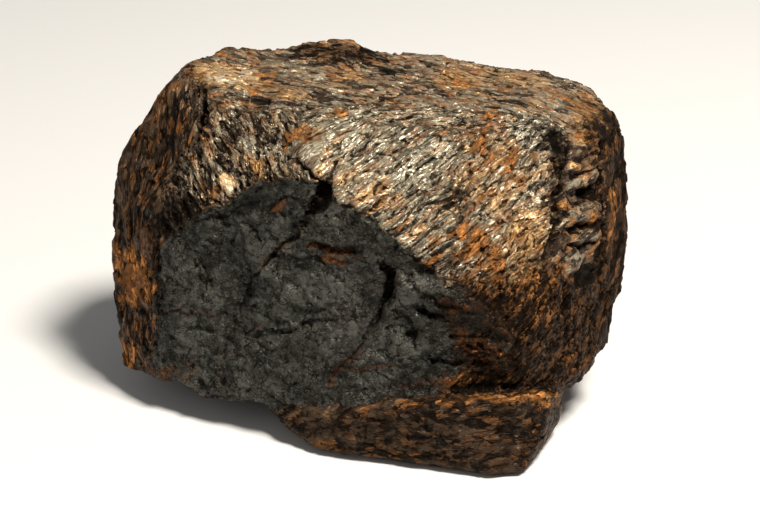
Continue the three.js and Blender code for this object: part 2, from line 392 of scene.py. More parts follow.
@dataclass(frozen=True)
class Relief:
    """How rough one zone is, in millimetres.

    Attributes:
        plate: (length, width, height) of the flat splinters that the ore breaks in.
        split: (length, width, depth) of the gaps between bundles of fibres.
        fibre: (length, width, height) of the coarse fibres.
        thread: (length, width, height) of the fine fibres.
        shingle: (pitch, height) of the steps that the fibres break in.
        facet: (size, tilt) of the flat cleavage faces.
        lump: (size, height) of the broad swells.
        stretch: how long the grain's colour streaks are for their width, against the longest.
        fineness: how many times finer than usual the grain's colour streaks are.
    """

    plate: Triple
    split: Triple
    fibre: Triple
    thread: Triple
    shingle: tuple[float, float]
    facet: tuple[float, float]
    lump: tuple[float, float] = (8.0, 0.6)
    stretch: float = 1.0
    fineness: float = 1.0


@dataclass(frozen=True)
class Tone:
    """What colours one zone. Each amount runs from 0 to 1.

    Attributes:
        silver, gold, rust: pale silver, golden fibres and rust.
        shade: a dark coat, and painted shade in hollows, under the brow and on sides turned from the
            lamps;
        below 0 it leaves the zone cleaner than usual.
        fresh: fresh broken ore.
        calm: how worn smooth it is.
    """

    silver: float = 0.0
    gold: float = 0.0
    rust: float = 0.0
    shade: float = 0.0
    fresh: float = 0.0
    calm: float = 0.0


@dataclass(frozen=True)
class Zone:
    """A part of the skin with its own fibre direction, roughness and tone.

    Attributes:
        name: what the zone is.
        normal: the way that it faces.
        angle_deg: the direction of its fibres as seen, anticlockwise from across.
        relief: its roughness.
        tone: its colours.
        outline: its outline on the sight plane; one without takes the hidden skin that faces its way.
    """

    EDGE_ON = 0.3  # a zone that faces the eye less than this has its fibres laid without foreshortening

    name: str
    normal: Triple
    angle_deg: float
    relief: Relief
    tone: Tone
    outline: Outline | None = None

    def axes(self, sight: Sight) -> Array:
        """The zone's own directions.

        Args:
            sight: the plane that the angle of the fibres is given on.

        Returns:
            The directions along the fibres, across them and out of the skin, as rows.
        """
        out = np.array(self.normal) / np.linalg.norm(self.normal)
        angle = math.radians(self.angle_deg)
        seen = math.cos(angle) * sight.across + math.sin(angle) * sight.up
        depth = out @ sight.facing
        along = seen - sight.facing * (seen @ out) / depth if abs(depth) > self.EDGE_ON else seen
        along = along - out * (along @ out)
        along /= np.linalg.norm(along)
        return np.stack([along, np.cross(out, along), out])


# The ways in which the ore breaks and weathers.
FIBROUS = Relief(
    plate=(7.0, 1.8, 0.62), split=(12.0, 2.2, 0.36), fibre=(7.0, 1.1, 0.22), thread=(4.0, 0.6, 0.14),
    shingle=(3.4, 0.34), facet=(1.0, 0.17), stretch=2.2, fineness=1.6)
CRINKLED = Relief(
    plate=(3.6, 1.4, 0.60), split=(6.0, 1.8, 0.34), fibre=(3.6, 1.0, 0.22), thread=(1.8, 0.55, 0.12),
    shingle=(2.6, 0.26), facet=(0.9, 0.22), stretch=0.85, fineness=1.6)
LAMINAR = Relief(
    plate=(6.0, 2.6, 0.36), split=(11.0, 3.2, 0.15), fibre=(6.0, 1.5, 0.10), thread=(3.0, 0.7, 0.07),
    shingle=(3.4, 0.19), facet=(1.4, 0.18), fineness=1.3)
HACKLY = Relief(
    plate=(4.6, 3.4, 0.50), split=(6.0, 4.0, 0.12), fibre=(3.4, 2.0, 0.14), thread=(1.3, 0.8, 0.12),
    shingle=(6.5, 0.16), facet=(1.6, 0.20), lump=(8.0, 0.9), stretch=0.4)
BLOCKY = Relief(
    plate=(4.6, 2.8, 0.55), split=(7.0, 3.6, 0.25), fibre=(4.0, 2.0, 0.16), thread=(1.8, 0.8, 0.08),
    shingle=(3.8, 0.24), facet=(1.6, 0.15), stretch=0.45, fineness=1.6)
STRIATED = Relief(
    plate=(8.0, 2.8, 0.50), split=(12.0, 3.0, 0.25), fibre=(8.0, 1.6, 0.16), thread=(4.0, 0.7, 0.06),
    shingle=(4.4, 0.24), facet=(1.6, 0.10), stretch=0.8)
LEDGED = Relief(
    plate=(7.0, 3.0, 0.24), split=(9.0, 3.0, 0.06), fibre=(6.0, 1.8, 0.08), thread=(3.0, 0.9, 0.04),
    shingle=(3.2, 0.16), facet=(1.8, 0.08))
SPANGLED = Relief(
    plate=(4.4, 1.7, 0.48), split=(7.0, 2.0, 0.30), fibre=(4.0, 1.1, 0.20), thread=(2.2, 0.6, 0.14),
    shingle=(2.8, 0.28), facet=(1.0, 0.24), stretch=1.1, fineness=1.6)
WORN = Relief(
    plate=(6.0, 3.0, 0.35), split=(10.0, 3.0, 0.15), fibre=(6.0, 2.0, 0.12), thread=(3.0, 1.0, 0.05),
    shingle=(5.0, 0.16), facet=(2.0, 0.06), stretch=0.7, fineness=1.15)

# Lines that zones share: the brow over the fracture, the rim between crown and flank, and the edge that
# is rounded where crown and flank meet.
BROW_LEFT = ((-34.8, -1.5), (-32.6, 2.6), (-29.0, 5.4), (-25.4, 7.2), (-21.2, 9.1), (-19.0, 11.0),
             (-12.3, 11.6), (-8.4, 10.8))
BROW_RIGHT = ((-8.4, 10.8), (-7.2, 7.9), (-2.2, 6.3), (1.2, 2.9), (4.0, 0.1), (6.8, -2.2))
RIM_TOP = ((-12.4, 22.2), (-4.7, 22.9), (3.1, 22.8), (10.9, 22.4), (18.7, 21.8), (25.7, 20.6))
RIM_BOTTOM = ((-11.9, 20.6), (-4.7, 20.6), (3.1, 20.0), (10.9, 19.4), (18.7, 19.0), (26.6, 19.5))
CROWN_EDGE = ((-19.0, 22.0), (-8.0, 22.2), (4.0, 22.0), (16.0, 21.2), (25.0, 20.2))

# The right side and the foot have a high shade: their dark coat, and painted shade that keeps them darker
# than the lamps alone would.
ZONES = (
    Zone("crown", (0.0, 0.1, 1.0), -5.0, LAMINAR,
         Tone(silver=0.68, gold=0.42, rust=0.14, shade=-0.18, calm=0.65),
         Outline(((-35.8, 36.3), (-31.4, 29.8), (-30.2, 24.7), (-27.1, 22.6), (-21.8, 22.0),
                  *RIM_TOP, (28.0, 19.5), (34.2, 22.3), (40.4, 23.9), (37.3, 36.3)), 1.8)),
    Zone("rim", (0.05, -0.4, 0.9), 14.0, CRINKLED,
         Tone(silver=0.85, gold=0.4, rust=0.06, shade=-0.1, calm=0.1),
         Outline((*RIM_TOP, *RIM_BOTTOM[::-1]), 1.0)),
    Zone("left side", (-0.97, -0.1, 0.2), 82.0, STRIATED,
         Tone(gold=0.2, rust=0.36, shade=0.58, calm=0.3),
         Outline(((-35.8, 36.3), (-31.4, 29.8), (-27.2, 25.4), (-28.0, 19.2), (-31.9, 14.5),
                  (-33.6, 9.4), (-32.6, 2.6), (-34.8, -1.5), (-35.0, -22.8), (-46.7, -22.8),
                  (-46.7, 23.9)))),
    Zone("left flank", (-0.35, -0.7, 0.62), -58.0, CRINKLED,
         Tone(silver=0.62, gold=0.3, rust=0.04, shade=0.24),
         Outline(((-30.2, 24.7), (-27.1, 23.3), (-21.8, 22.3), (-12.4, 22.0), (-11.7, 17.7),
                  (-13.8, 15.2), *BROW_LEFT[:0:-1], (-33.6, 9.4), (-31.9, 14.5), (-28.0, 19.2)), 0.8)),
    Zone("flank", (0.1, -0.72, 0.68), 37.0, FIBROUS, Tone(silver=1.02, gold=0.34, rust=0.0, shade=-0.17),
         Outline((*RIM_BOTTOM[:4], (11.7, 9.9), (10.9, -4.7), *BROW_RIGHT[::-1], (-13.8, 15.2),
                  (-11.7, 17.7)), 0.8)),
    Zone("right flank", (0.27, -0.72, 0.64), 42.0, SPANGLED,
         Tone(silver=0.98, gold=0.72, rust=0.2, shade=-0.16, calm=0.05),
         Outline((*RIM_BOTTOM[3:], (26.8, 9.9), (26.8, 3.3), (25.2, -0.6), (21.8, -3.7),
                  (13.0, -4.4), (10.9, -4.7), (11.7, 9.9)), 1.2)),
    Zone("fresh fracture", (-0.2, -0.97, 0.1), -14.0, HACKLY, Tone(fresh=1.0),
         Outline((*BROW_LEFT, *BROW_RIGHT[1:], (9.6, -5.0), (9.8, -10.4), (11.4, -15.0),
                  (12.4, -19.0), (9.3, -21.8), (0.0, -22.6), (-7.8, -23.7), (-17.9, -24.3),
                  (-29.5, -22.8), (-37.3, -20.5), (-34.7, -13.5), (-35.0, -8.0)), 0.6)),
    Zone("dark fracture", (0.1, -0.98, 0.0), -8.0, HACKLY, Tone(rust=0.42, shade=0.76, fresh=0.65),
         Outline((BROW_RIGHT[-1], (13.0, -4.4), (19.4, -9.4), (21.0, -14.4), (20.8, -18.4),
                  (12.4, -19.0), (11.4, -15.0), (9.8, -10.4), (9.6, -5.0)), 1.4)),
    Zone("rusty fracture", (0.3, -0.95, 0.0), 52.0, SPANGLED,
         Tone(silver=0.05, gold=0.26, rust=0.5, shade=0.7, fresh=0.08),
         Outline(((10.9, -4.7), (13.0, -4.4), (21.8, -3.7), (25.2, -0.6), (28.3, -1.3),
                  (33.1, -7.2), (33.8, -14.2), (31.1, -20.5), (24.9, -21.7), (9.3, -22.8),
                  (9.3, -21.8), (12.4, -19.0), (20.8, -18.4), (21.0, -14.4), (19.4, -9.4)), 1.4)),
    Zone("knobs", (0.5, -0.8, 0.3), 25.0, LEDGED,
         Tone(silver=0.24, gold=0.4, rust=0.2, shade=0.4, calm=0.7),
         Outline(((26.6, 19.5), (33.4, 19.8), (35.2, 14.0), (35.2, 4.0), (33.8, -4.4), (28.3, -5.2),
                  (25.2, -0.6), (26.8, 3.3), (26.8, 9.9)))),
    Zone("right side", (0.88, -0.4, 0.2), 84.0, STRIATED, Tone(gold=0.1, rust=0.6, shade=0.82, calm=0.5),
         Outline(((33.4, 19.8), (34.2, 22.3), (42.0, 23.9), (42.0, -13.5), (33.8, -14.2),
                  (33.1, -7.2), (28.3, -5.2), (33.8, -4.4), (35.2, 4.0), (35.2, 14.0)))),
    Zone("foot", (0.0, -0.95, 0.2), 6.0, WORN, Tone(rust=0.32, shade=0.72, calm=0.6),
         Outline(((-21.8, -24.7), (-7.8, -23.7), (7.8, -22.5), (24.9, -21.5), (32.7, -19.7),
                  (32.7, -25.9), (24.9, -38.3), (9.3, -38.3), (-15.6, -32.1)))),
    Zone("hidden top", (0.0, 0.0, 1.0), -5.0, LAMINAR, Tone(silver=0.4, gold=0.4, rust=0.2, shade=0.15)),
    Zone("hidden back", (0.0, 1.0, 0.0), 62.0, FIBROUS,
         Tone(silver=0.35, gold=0.3, rust=0.25, shade=0.3)),
    Zone("hidden left", (-1.0, 0.0, 0.0), 88.0, STRIATED,
         Tone(silver=0.05, gold=0.15, rust=0.4, shade=0.5)),
    Zone("hidden right", (1.0, 0.0, 0.0), 84.0, STRIATED,
         Tone(silver=0.2, gold=0.35, rust=0.45, shade=0.3)),
    Zone("hidden front", (0.0, -1.0, 0.0), 0.0, BLOCKY, Tone(gold=0.15, rust=0.35, shade=0.55)),
    Zone("underside", (0.0, 0.0, -1.0), 10.0, BLOCKY, Tone(gold=0.15, rust=0.3, shade=0.6)),
)
FLANK = next(zone for zone in ZONES if zone.name == "flank")


# ---- Marks on the front: cracks, and patches of colour and relief --------


@dataclass(frozen=True)
class Crack:
    """A crack along a line on the sight plane.

    Attributes:
        stops: the line, each stop (across, up, width, depth).
        rusty: how much rust lines the crack.
    """

    BLUNTNESS = 0.7  # below 1, a crack is steep at its edges and blunt at its bottom
    MOUTH = 0.6  # how near to its middle a crack is fully itself

    stops: tuple[tuple[float, float, float, float], ...]
    rusty: float = 0.0

    def reach(self, places: Array) -> tuple[Array, Array]:
        """How deep the crack goes.

        Args:
            places: across and up, one row each.

        Returns:
            The depth at each place, and how near each place is to the crack's middle, from 0 to 1.
        """
        line = np.array(self.stops)
        distance, along = _distance_to_line(places, line[:, :2])
        stop = np.arange(len(line))
        width = np.interp(along, stop, line[:, 2])
        depth = np.interp(along, stop, line[:, 3])
        near = np.clip(1.0 - distance / (width * 0.5), 0.0, 1.0)
        return depth * near**self.BLUNTNESS, smooth_step(near, 0.0, self.MOUTH)

    def widened(self, times: float, margin: float) -> "Crack":
        """The same crack, each stop so many times as wide and a margin wider."""
        return Crack(tuple((x, y, width * times + margin, depth) for x, y, width, depth in self.stops))


CRACKS = (
    # The fissure that runs down from the flank, through the brow and into the fracture.
    Crack(((-4.8, 16.0, 0.5, 0.6), (-6.5, 14.5, 0.7, 0.8), (-7.4, 12.1, 0.8, 1.0),
           (-8.2, 10.5, 1.4, 1.6), (-9.6, 7.5, 1.8, 1.8), (-11.7, 4.9, 1.0, 1.3),
           (-14.0, 2.1, 0.8, 1.0), (-16.8, -0.5, 0.9, 1.0), (-19.3, -2.9, 0.6, 0.8),
           (-20.2, -4.9, 0.6, 0.8), (-22.2, -9.9, 0.5, 0.5)), 0.5),
    # The furrow between the flank and the knobs, and two ledges beside it.
    Crack(((26.6, 17.0, 0.8, 0.6), (27.6, 13.0, 1.5, 1.3), (27.4, 8.0, 1.4, 1.4),
           (27.2, 3.6, 1.4, 1.1), (25.4, -0.6, 0.9, 0.6))),
    Crack(((28.2, 3.0, 0.9, 0.9), (31.2, 4.1, 1.1, 1.0), (34.2, 5.3, 0.8, 0.6))),
    Crack(((28.2, 0.4, 0.8, 0.7), (31.0, 1.1, 0.9, 0.9), (33.6, 2.2, 0.6, 0.6))),
    # Furrows down the right side.
    Crack(((28.4, -4.6, 1.0, 0.6), (29.0, -9.0, 1.5, 1.0), (29.4, -14.0, 1.0, 0.6)), 0.3),
    Crack(((33.6, 16.0, 0.8, 0.5), (34.6, 9.0, 1.2, 0.8), (34.2, 1.0, 1.3, 0.8),
           (34.0, -7.0, 1.0, 0.6)), 0.3),
    # The furrow at the top left, and the one down the left edge of the fracture.
    Crack(((-27.6, 25.5, 1.0, 0.8), (-27.3, 22.4, 1.6, 1.1), (-28.2, 18.0, 0.9, 0.6))),
    Crack(((-34.3, 3.0, 0.8, 0.6), (-34.5, -2.0, 1.5, 1.0), (-34.3, -8.0, 1.3, 0.8),
           (-34.6, -13.0, 0.8, 0.4))),
    # The branch that meets the fissure at the brow.
    Crack(((-13.8, 15.2, 0.5, 0.6), (-11.0, 12.4, 0.7, 0.9), (-8.4, 10.8, 0.8, 1.1))),
    # The stepped groove of the fracture.
    Crack(((-0.3, -1.3, 0.9, 0.7), (1.9, -2.6, 1.8, 1.2), (1.8, -5.4, 1.7, 1.2),
           (0.0, -9.1, 1.1, 1.0), (-1.9, -12.7, 0.7, 0.6), (-4.7, -16.3, 0.5, 0.5),
           (-8.1, -19.7, 0.5, 0.4)), 0.35),
    # Slits at the right of the fracture, over the foot.
    Crack(((6.4, -16.6, 0.5, 0.6), (9.6, -16.9, 0.7, 1.0), (12.8, -16.9, 0.5, 0.8)), 0.2),
    Crack(((14.6, -16.7, 0.6, 0.9), (16.6, -17.2, 0.8, 1.1), (18.8, -17.3, 0.5, 0.7)), 0.2),
    Crack(((12.5, -14.2, 0.5, 0.7), (15.5, -14.7, 0.7, 0.9), (18.8, -15.3, 0.5, 0.7)), 0.4),
    Crack(((13.6, -15.8, 0.5, 0.6), (16.6, -15.9, 0.6, 0.9), (20.4, -16.4, 0.5, 0.6)), 0.2),
    Crack(((10.8, -12.8, 0.5, 0.6), (13.4, -12.9, 0.6, 0.8), (16.2, -13.4, 0.5, 0.6)), 0.3),
    # Cross cracks beside the fissure.
    Crack(((-10.6, 1.2, 0.7, 0.6), (-7.0, 0.9, 1.0, 0.9), (-3.4, 0.1, 0.7, 0.6)), 0.5),
    Crack(((-9.0, -0.7, 0.7, 0.5), (-5.4, -1.3, 0.9, 0.6)), 0.8),
    Crack(((-16.8, -0.5, 0.7, 0.6), (-13.7, -0.7, 0.8, 0.6), (-10.1, -1.3, 0.7, 0.6),
           (-7.8, -2.9, 0.5, 0.4)), 0.2),
    # Hair cracks in the left half of the fracture.
    Crack(((-33.9, -9.1, 0.6, 0.3), (-29.5, -9.1, 0.6, 0.4), (-26.0, -9.7, 0.5, 0.3)), 0.55),
    Crack(((-22.6, -10.7, 0.5, 0.4), (-19.4, -12.2, 0.8, 0.6), (-16.3, -12.7, 0.8, 0.7),
           (-10.9, -10.7, 0.7, 0.5), (-5.4, -10.0, 0.6, 0.4), (-1.9, -9.7, 0.5, 0.3)), 0.35),
    Crack(((-22.2, -10.0, 0.5, 0.4), (-24.1, -14.2, 0.6, 0.3), (-24.6, -20.5, 0.6, 0.3)), 0.45),
    Crack(((-28.8, -1.8, 0.8, 0.7), (-27.5, -3.8, 0.8, 0.6), (-26.9, -5.7, 0.6, 0.4)), 0.35),
    # Cracks and chips under the left of the brow.
    Crack(((-30.2, 5.6, 0.7, 0.4), (-26.2, 5.2, 0.9, 0.6), (-22.8, 6.6, 0.8, 0.5),
           (-18.6, 8.2, 0.6, 0.4))),
    Crack(((-25.4, 5.6, 0.9, 0.7), (-24.6, 4.6, 1.3, 0.8), (-23.2, 4.5, 0.7, 0.5))),
    Crack(((-25.6, 2.4, 0.7, 0.5), (-25.2, 1.4, 0.9, 0.6))),
    Crack(((-20.4, 4.0, 0.7, 0.6), (-19.2, 3.2, 1.2, 0.7), (-18.6, 2.2, 0.6, 0.5))),
    Crack(((-17.6, 6.8, 0.6, 0.4), (-14.6, 8.8, 0.8, 0.6), (-12.4, 8.6, 0.6, 0.4)), 0.3),
    # Slits and pits to the right of the groove.
    Crack(((2.0, -9.2, 0.6, 0.8), (3.6, -10.2, 0.7, 0.9), (5.4, -11.3, 0.5, 0.6))),
    Crack(((6.0, -8.6, 0.6, 0.6), (8.2, -9.6, 0.9, 0.9), (10.4, -9.9, 0.6, 0.6)), 0.1),
    Crack(((4.4, -12.0, 1.0, 0.9), (5.2, -12.4, 1.3, 1.0))),
    Crack(((5.4, -12.6, 0.8, 0.7), (5.6, -14.0, 0.6, 0.6))),
    Crack(((3.6, -2.8, 0.7, 0.6), (6.4, -6.2, 1.0, 0.8), (9.8, -8.0, 1.0, 0.8),
           (14.0, -8.6, 0.7, 0.5)), 0.3),
)


class Kind(Enum):
    """What a patch adds to the skin: the name of the attribute that it raises."""

    SILVER = "silver"
    GOLD = "gold"
    RUST = "rust"
    SHADE = "shade"
    FRESH = "fresh"
    CALM = "calm"


@dataclass(frozen=True)
class Patch:
    """An oval patch on the sight plane.

    Attributes:
        kind: what it adds.
        across, up: its middle.
        length, width: half of its length and half of its width.
        angle_deg: the direction of its length.
        amount: how much it adds.
        rise: how far it stands out of the skin; a hollow has a rise below zero.
    """

    EDGE = (1.25, 0.6)  # where the patch ends and where it is full, as shares of its size

    kind: Kind
    across: float
    up: float
    length: float
    width: float
    angle_deg: float
    amount: float
    rise: float = 0.0

    def cover(self, places: Array) -> Array:
        """How much of the patch lies on each place.

        Args:
            places: across and up, one row each.

        Returns:
            The share, from 0 to 1.
        """
        angle = math.radians(self.angle_deg)
        away = places - np.array((self.across, self.up))
        along = away @ np.array((math.cos(angle), math.sin(angle))) / self.length
        aside = away @ np.array((-math.sin(angle), math.cos(angle))) / self.width
        return smooth_step(np.hypot(along, aside), *self.EDGE)


# The patches of each kind. A row is a patch's middle across and up, half length, half width, angle,
# amount and, where it stands out or is hollow, its rise.
MARKS = {
    Kind.SILVER: (
        (-23.4, 27.4, 4.8, 1.4, -8, 0.8), (-24.6, 26.9, 2.4, 0.5, -14, 0.9),
        (-20.4, 28.2, 1.6, 0.5, -14, 0.9), (-5.2, 21.2, 1.1, 0.9, 0, 0.6), (10.2, 23.2, 5.0, 1.0, -6, 0.4),
        (26.8, 24.4, 3.6, 1.4, -18, 0.5), (-9.7, 27.4, 1.2, 0.4, 25, 1.3, 0.2),
        (-2.4, 27.6, 1.1, 0.5, -8, 1.4, 0.1), (-7.5, 18.0, 6.0, 3.4, 20, 0.25),
        (-11.2, 15.6, 3.4, 2.0, 32, -0.1, 0.5), (-11.2, 15.6, 3.2, 1.9, 32, -0.45),
        (-3.2, 11.2, 4.2, 2.4, 38, 0.4), (4.6, 13.6, 5.0, 3.0, 30, 0.3), (1.8, 17.2, 2.6, 1.6, 30, 0.4),
        (21.8, 19.2, 0.9, 0.6, 60, 1.6), (19.2, 12.4, 3.0, 1.8, 50, 0.6),
        (-23.9, 10.8, 1.9, 1.0, -58, 1.3, 0.4), (-20.4, 16.4, 2.1, 0.9, -56, 0.7, 0.3),
        (-11.5, -6.8, 6.0, 3.4, 0, 0.35), (4.2, -15.4, 3.0, 1.4, 10, 0.4),
        (-27.0, -6.6, 3.4, 2.2, -20, 0.3), (0.4, -19.4, 4.4, 1.5, 4, 0.8), (5.6, -6.4, 2.6, 2.0, -20, 0.6),
        (31.0, 11.6, 2.8, 0.9, 30, 0.7, 0.9), (31.2, 6.4, 3.0, 1.3, 24, 0.6, 0.8),
        (31.5, 2.6, 2.8, 1.0, 22, 0.5, 0.6), (30.0, -1.1, 1.9, 1.6, 45, 0.5, 0.6),
    ),
    Kind.GOLD: (
        (-23.6, 27.6, 5.8, 2.0, -8, 1.1), (-14.6, 24.9, 5.0, 0.5, -6, 0.6),
        (-4.4, 27.4, 3.0, 0.9, -4, 0.8), (12.2, 27.0, 3.6, 1.0, -6, 0.9), (19.0, 27.5, 8.0, 1.4, -6, 0.5),
        (-11.0, 19.2, 3.6, 1.4, 2, 0.7), (-11.2, 15.6, 3.2, 1.9, 32, -0.6),
        (-7.4, 16.8, 2.8, 0.35, 45, 0.9), (-9.4, 13.8, 1.8, 0.35, 40, 0.5), (-1.4, 9.6, 3.6, 0.8, 38, 0.9),
        (-4.6, 12.0, 2.6, 0.7, 42, 0.7), (18.0, 12.0, 6.0, 5.0, 60, 0.25), (23.0, 4.4, 4.6, 2.2, 42, 0.4),
        (22.0, 0.0, 2.6, 1.0, 42, 0.6), (-24.0, 11.0, 1.9, 1.1, -58, 2.0),
        (-19.2, 13.6, 2.2, 0.6, -62, 1.2), (-21.4, 15.4, 2.0, 0.6, -60, 0.6),
        (2.6, 6.6, 9.0, 2.4, -38, 0.35), (22.8, -3.6, 3.4, 2.2, 30, 0.4),
        (-32.5, 24.0, 1.6, 3.0, -20, 0.5), (32.2, 14.2, 4.0, 0.8, 14, 0.5, 0.8),
        (31.8, 17.6, 2.4, 1.2, 20, 0.3), (33.5, 19.5, 4.0, 3.0, -30, 0.45),
        (24.8, 18.4, 4.6, 2.8, -12, -0.5), (32.6, 22.4, 3.6, 2.0, -20, 0.5),
        (24.6, -23.0, 3.6, 1.3, 5, 0.75), (-7.2, -25.2, 2.6, 0.8, 0, 0.8),
    ),
    Kind.RUST: (
        (-19.8, 25.0, 1.1, 0.6, 0, 0.9), (12.2, 27.0, 3.0, 0.8, -6, 0.55),
        (31.0, 23.0, 4.4, 1.6, -24, 0.3), (-11.5, 18.8, 3.6, 1.4, 2, 0.8), (-14.2, 16.6, 1.0, 1.3, 0, 0.9),
        (-5.6, 21.4, 1.2, 0.9, 0, 0.8), (-1.0, 7.2, 2.6, 0.7, 36, 0.8), (3.4, 4.6, 2.4, 0.7, 44, 0.7),
        (16.8, 20.6, 2.8, 0.9, 70, 0.7), (15.6, 16.8, 2.4, 1.0, 40, 0.55), (20.0, 13.4, 3.0, 0.9, 60, 0.6),
        (13.0, 3.4, 4.0, 1.1, 14, 0.8), (14.6, 1.0, 3.0, 1.6, 50, 0.6), (18.0, -1.6, 1.4, 3.4, 10, 0.8),
        (7.6, -1.2, 2.0, 0.9, 50, 0.7), (-26.6, 10.0, 2.4, 1.4, -50, 0.35),
        (-15.4, 7.5, 1.8, 0.7, 25, 0.95), (-7.2, 0.6, 3.8, 0.5, -8, 0.55),
        (-7.6, -1.1, 2.4, 0.5, -12, 0.75), (-19.0, -11.2, 1.0, 0.5, 0, 0.6),
        (-34.2, -19.0, 2.4, 1.4, -20, 0.65), (-0.6, -17.9, 4.6, 0.4, 4, 0.7),
        (9.2, 1.0, 4.4, 1.7, -32, 0.4), (-5.6, -18.0, 5.0, 1.2, 45, 0.45), (24.5, -7.4, 3.4, 4.6, 10, 0.5),
        (8.6, -19.8, 9.0, 1.3, 4, 0.5), (-30.6, -18.2, 2.8, 2.2, 0, 0.5), (-38.9, -2.6, 2.4, 3.4, 0, 1.1),
        (-37.8, -6.4, 3.4, 1.8, 20, 1.1), (-39.6, -16.5, 1.8, 3.0, 0, 0.7),
        (24.8, 18.4, 4.6, 2.8, -12, -0.3), (36.2, 2.2, 0.8, 8.0, 0, 0.6),
        (16.0, -22.6, 12.0, 0.8, 5, 0.6, 0.25), (24.6, -23.0, 3.6, 1.3, 5, 0.2),
        (14.0, -19.8, 6.5, 0.8, 6, 0.15, 0.4), (-7.8, -30.0, 3.2, 0.8, -8, 0.7),
        (4.0, -31.2, 5.0, 0.7, -8, 0.4),
    ),
    # Painted shade: the rows with a rise below zero are hollows and caves; (-21.0, 7.0), (-2.8, 4.0) and
    # (-9.2, 8.2)
    # lie under the brow and in its notch, and (26.2, 9.4) along the furrow. The other rows are a dark
    # coat.
    Kind.SHADE: (
        (-9.0, 25.2, 9.0, 0.7, -7, 0.3), (-16.4, 23.6, 7.0, 1.0, -3, 0.3),
        (-2.0, 24.0, 6.0, 0.9, -6, 0.25), (8.0, 24.6, 6.0, 0.6, -4, 0.3), (18.0, 24.4, 5.0, 0.6, -8, 0.3),
        (1.9, 28.9, 2.6, 1.3, 0, 0.75), (-7.0, 31.0, 8.5, 1.8, -4, 0.9), (-11.5, 18.8, 4.2, 1.8, 2, -0.2),
        (-7.5, 18.0, 6.0, 3.4, 20, -0.25), (-11.2, 15.6, 3.4, 2.0, 32, -0.1),
        (-3.2, 11.2, 4.2, 2.4, 38, -0.2), (11.8, 8.0, 2.8, 1.8, 40, 0.5), (6.6, 8.6, 3.6, 0.9, 38, 0.4),
        (-24.0, 11.0, 1.9, 1.1, -58, -0.7), (-31.6, 5.6, 4.6, 2.4, 34, 0.6),
        (-9.2, 8.2, 3.2, 1.4, 60, 0.9), (-21.0, 7.0, 7.0, 1.2, 14, 0.7), (-2.8, 4.0, 6.0, 1.6, -38, 0.85),
        (5.0, -1.6, 5.0, 1.1, -30, 0.7), (8.6, -8.6, 3.4, 2.2, -30, 0.5),
        (12.0, -11.0, 9.0, 6.0, -30, 0.3), (0.8, -4.8, 2.2, 4.2, -12, 0.55),
        (-2.6, -6.8, 1.6, 3.4, -25, 0.35), (-38.9, -3.4, 2.6, 4.4, 0, -0.6),
        (-39.8, -16.5, 1.8, 3.0, 0, -0.3), (28.0, 14.8, 3.0, 1.3, 84, 0.6, -0.8),
        (26.2, 9.4, 5.0, 0.7, 88, 0.6), (34.6, 17.0, 0.7, 0.7, 0, 0.9, -0.7),
        (31.9, 9.5, 1.8, 1.1, 20, 0.7, -0.7), (30.0, -1.1, 1.9, 1.6, 45, -0.2),
        (31.2, 11.4, 2.8, 0.9, 30, -0.3), (31.2, 6.4, 3.0, 1.2, 24, -0.25),
        (31.5, 2.6, 2.8, 0.9, 22, -0.2), (32.0, -3.6, 2.2, 1.2, 30, 0.5, -0.8),
        (24.8, 18.4, 4.6, 2.8, -12, 0.55, 0.4), (26.8, 17.6, 1.2, 1.8, 0, 0.4, -0.6),
        (32.5, 21.6, 5.5, 4.0, -20, 0.3), (16.0, -22.6, 12.0, 0.8, 5, -0.08),
        (24.6, -23.0, 3.6, 1.3, 5, -0.25),
    ),
    Kind.CALM: (
        (-11.5, 18.8, 3.6, 1.4, 2, 0.4), (-11.2, 15.6, 3.6, 2.1, 32, 0.8),
        (-24.0, 11.0, 1.9, 1.1, -58, 0.5), (-20.4, 16.4, 2.1, 0.9, -56, 0.5),
        (32.0, 21.6, 5.0, 3.6, -20, 0.4), (16.0, -22.6, 12.0, 1.2, 5, 0.5),
    ),
}
PATCHES = tuple(Patch(kind, *row) for kind, rows in MARKS.items() for row in rows)


# ---- The lump --------


@dataclass
class Skin:
    """A closed triangle or quad mesh as arrays, in millimetres."""

    mesh: bpy.types.Mesh
    points: Array = field(init=False)
    edges: Array = field(init=False)

    def __post_init__(self) -> None:
        """Reads the mesh."""
        self.points = np.empty(len(self.mesh.vertices) * 3)
        self.mesh.vertices.foreach_get("co", self.points)
        self.points = self.points.reshape(-1, 3)
        self.edges = np.empty(len(self.mesh.edges) * 2, dtype=np.int32)
        self.mesh.edges.foreach_get("vertices", self.edges)
        self.edges = self.edges.reshape(-1, 2)

    def normals(self) -> Array:
        """Reads which way the skin faces.

        Returns:
            The outward normal of each vertex, one row each.
        """
        found = np.empty(len(self.points) * 3, dtype=np.float32)
        self.mesh.vertex_normals.foreach_get("vector", found)
        return found.reshape(-1, 3).astype(float)

    def store(self) -> None:
        """Writes the points back to the mesh."""
        self.mesh.vertices.foreach_set("co", self.points.ravel())
        self.mesh.update()

    def averaged(self, values: Array, rounds: int) -> Array:
        """Values smoothed over the neighbours of each vertex.

        Args:
            values: one row for each vertex.
            rounds: how many times each value moves half way to its neighbours' mean.

        Returns:
            The smoothed values.
        """
        count = len(self.points)
        near = np.bincount(self.edges.ravel(), minlength=count)
        start, end = self.edges.T
        table = values.reshape(count, -1)
        for _ in range(rounds):
            mean = np.stack(
                [np.bincount(start, column[end], count) + np.bincount(end, column[start], count)
                 for column in table.T], axis=1)
            table = 0.5 * (table + mean / near[:, None])
        return table.reshape(values.shape)

    def paint(self, name: str, values: Array) -> None:
        """Stores values on the mesh as a point attribute.

        Args:
            name: the attribute's name.
            values: a number or a vector for each vertex.
        """
        kind, key = ("FLOAT", "value") if values.ndim == 1 else ("FLOAT_VECTOR", "vector")
        layer = self.mesh.attributes.new(name, kind, "POINT")
        layer.data.foreach_set(key, values.astype(np.float32).ravel())


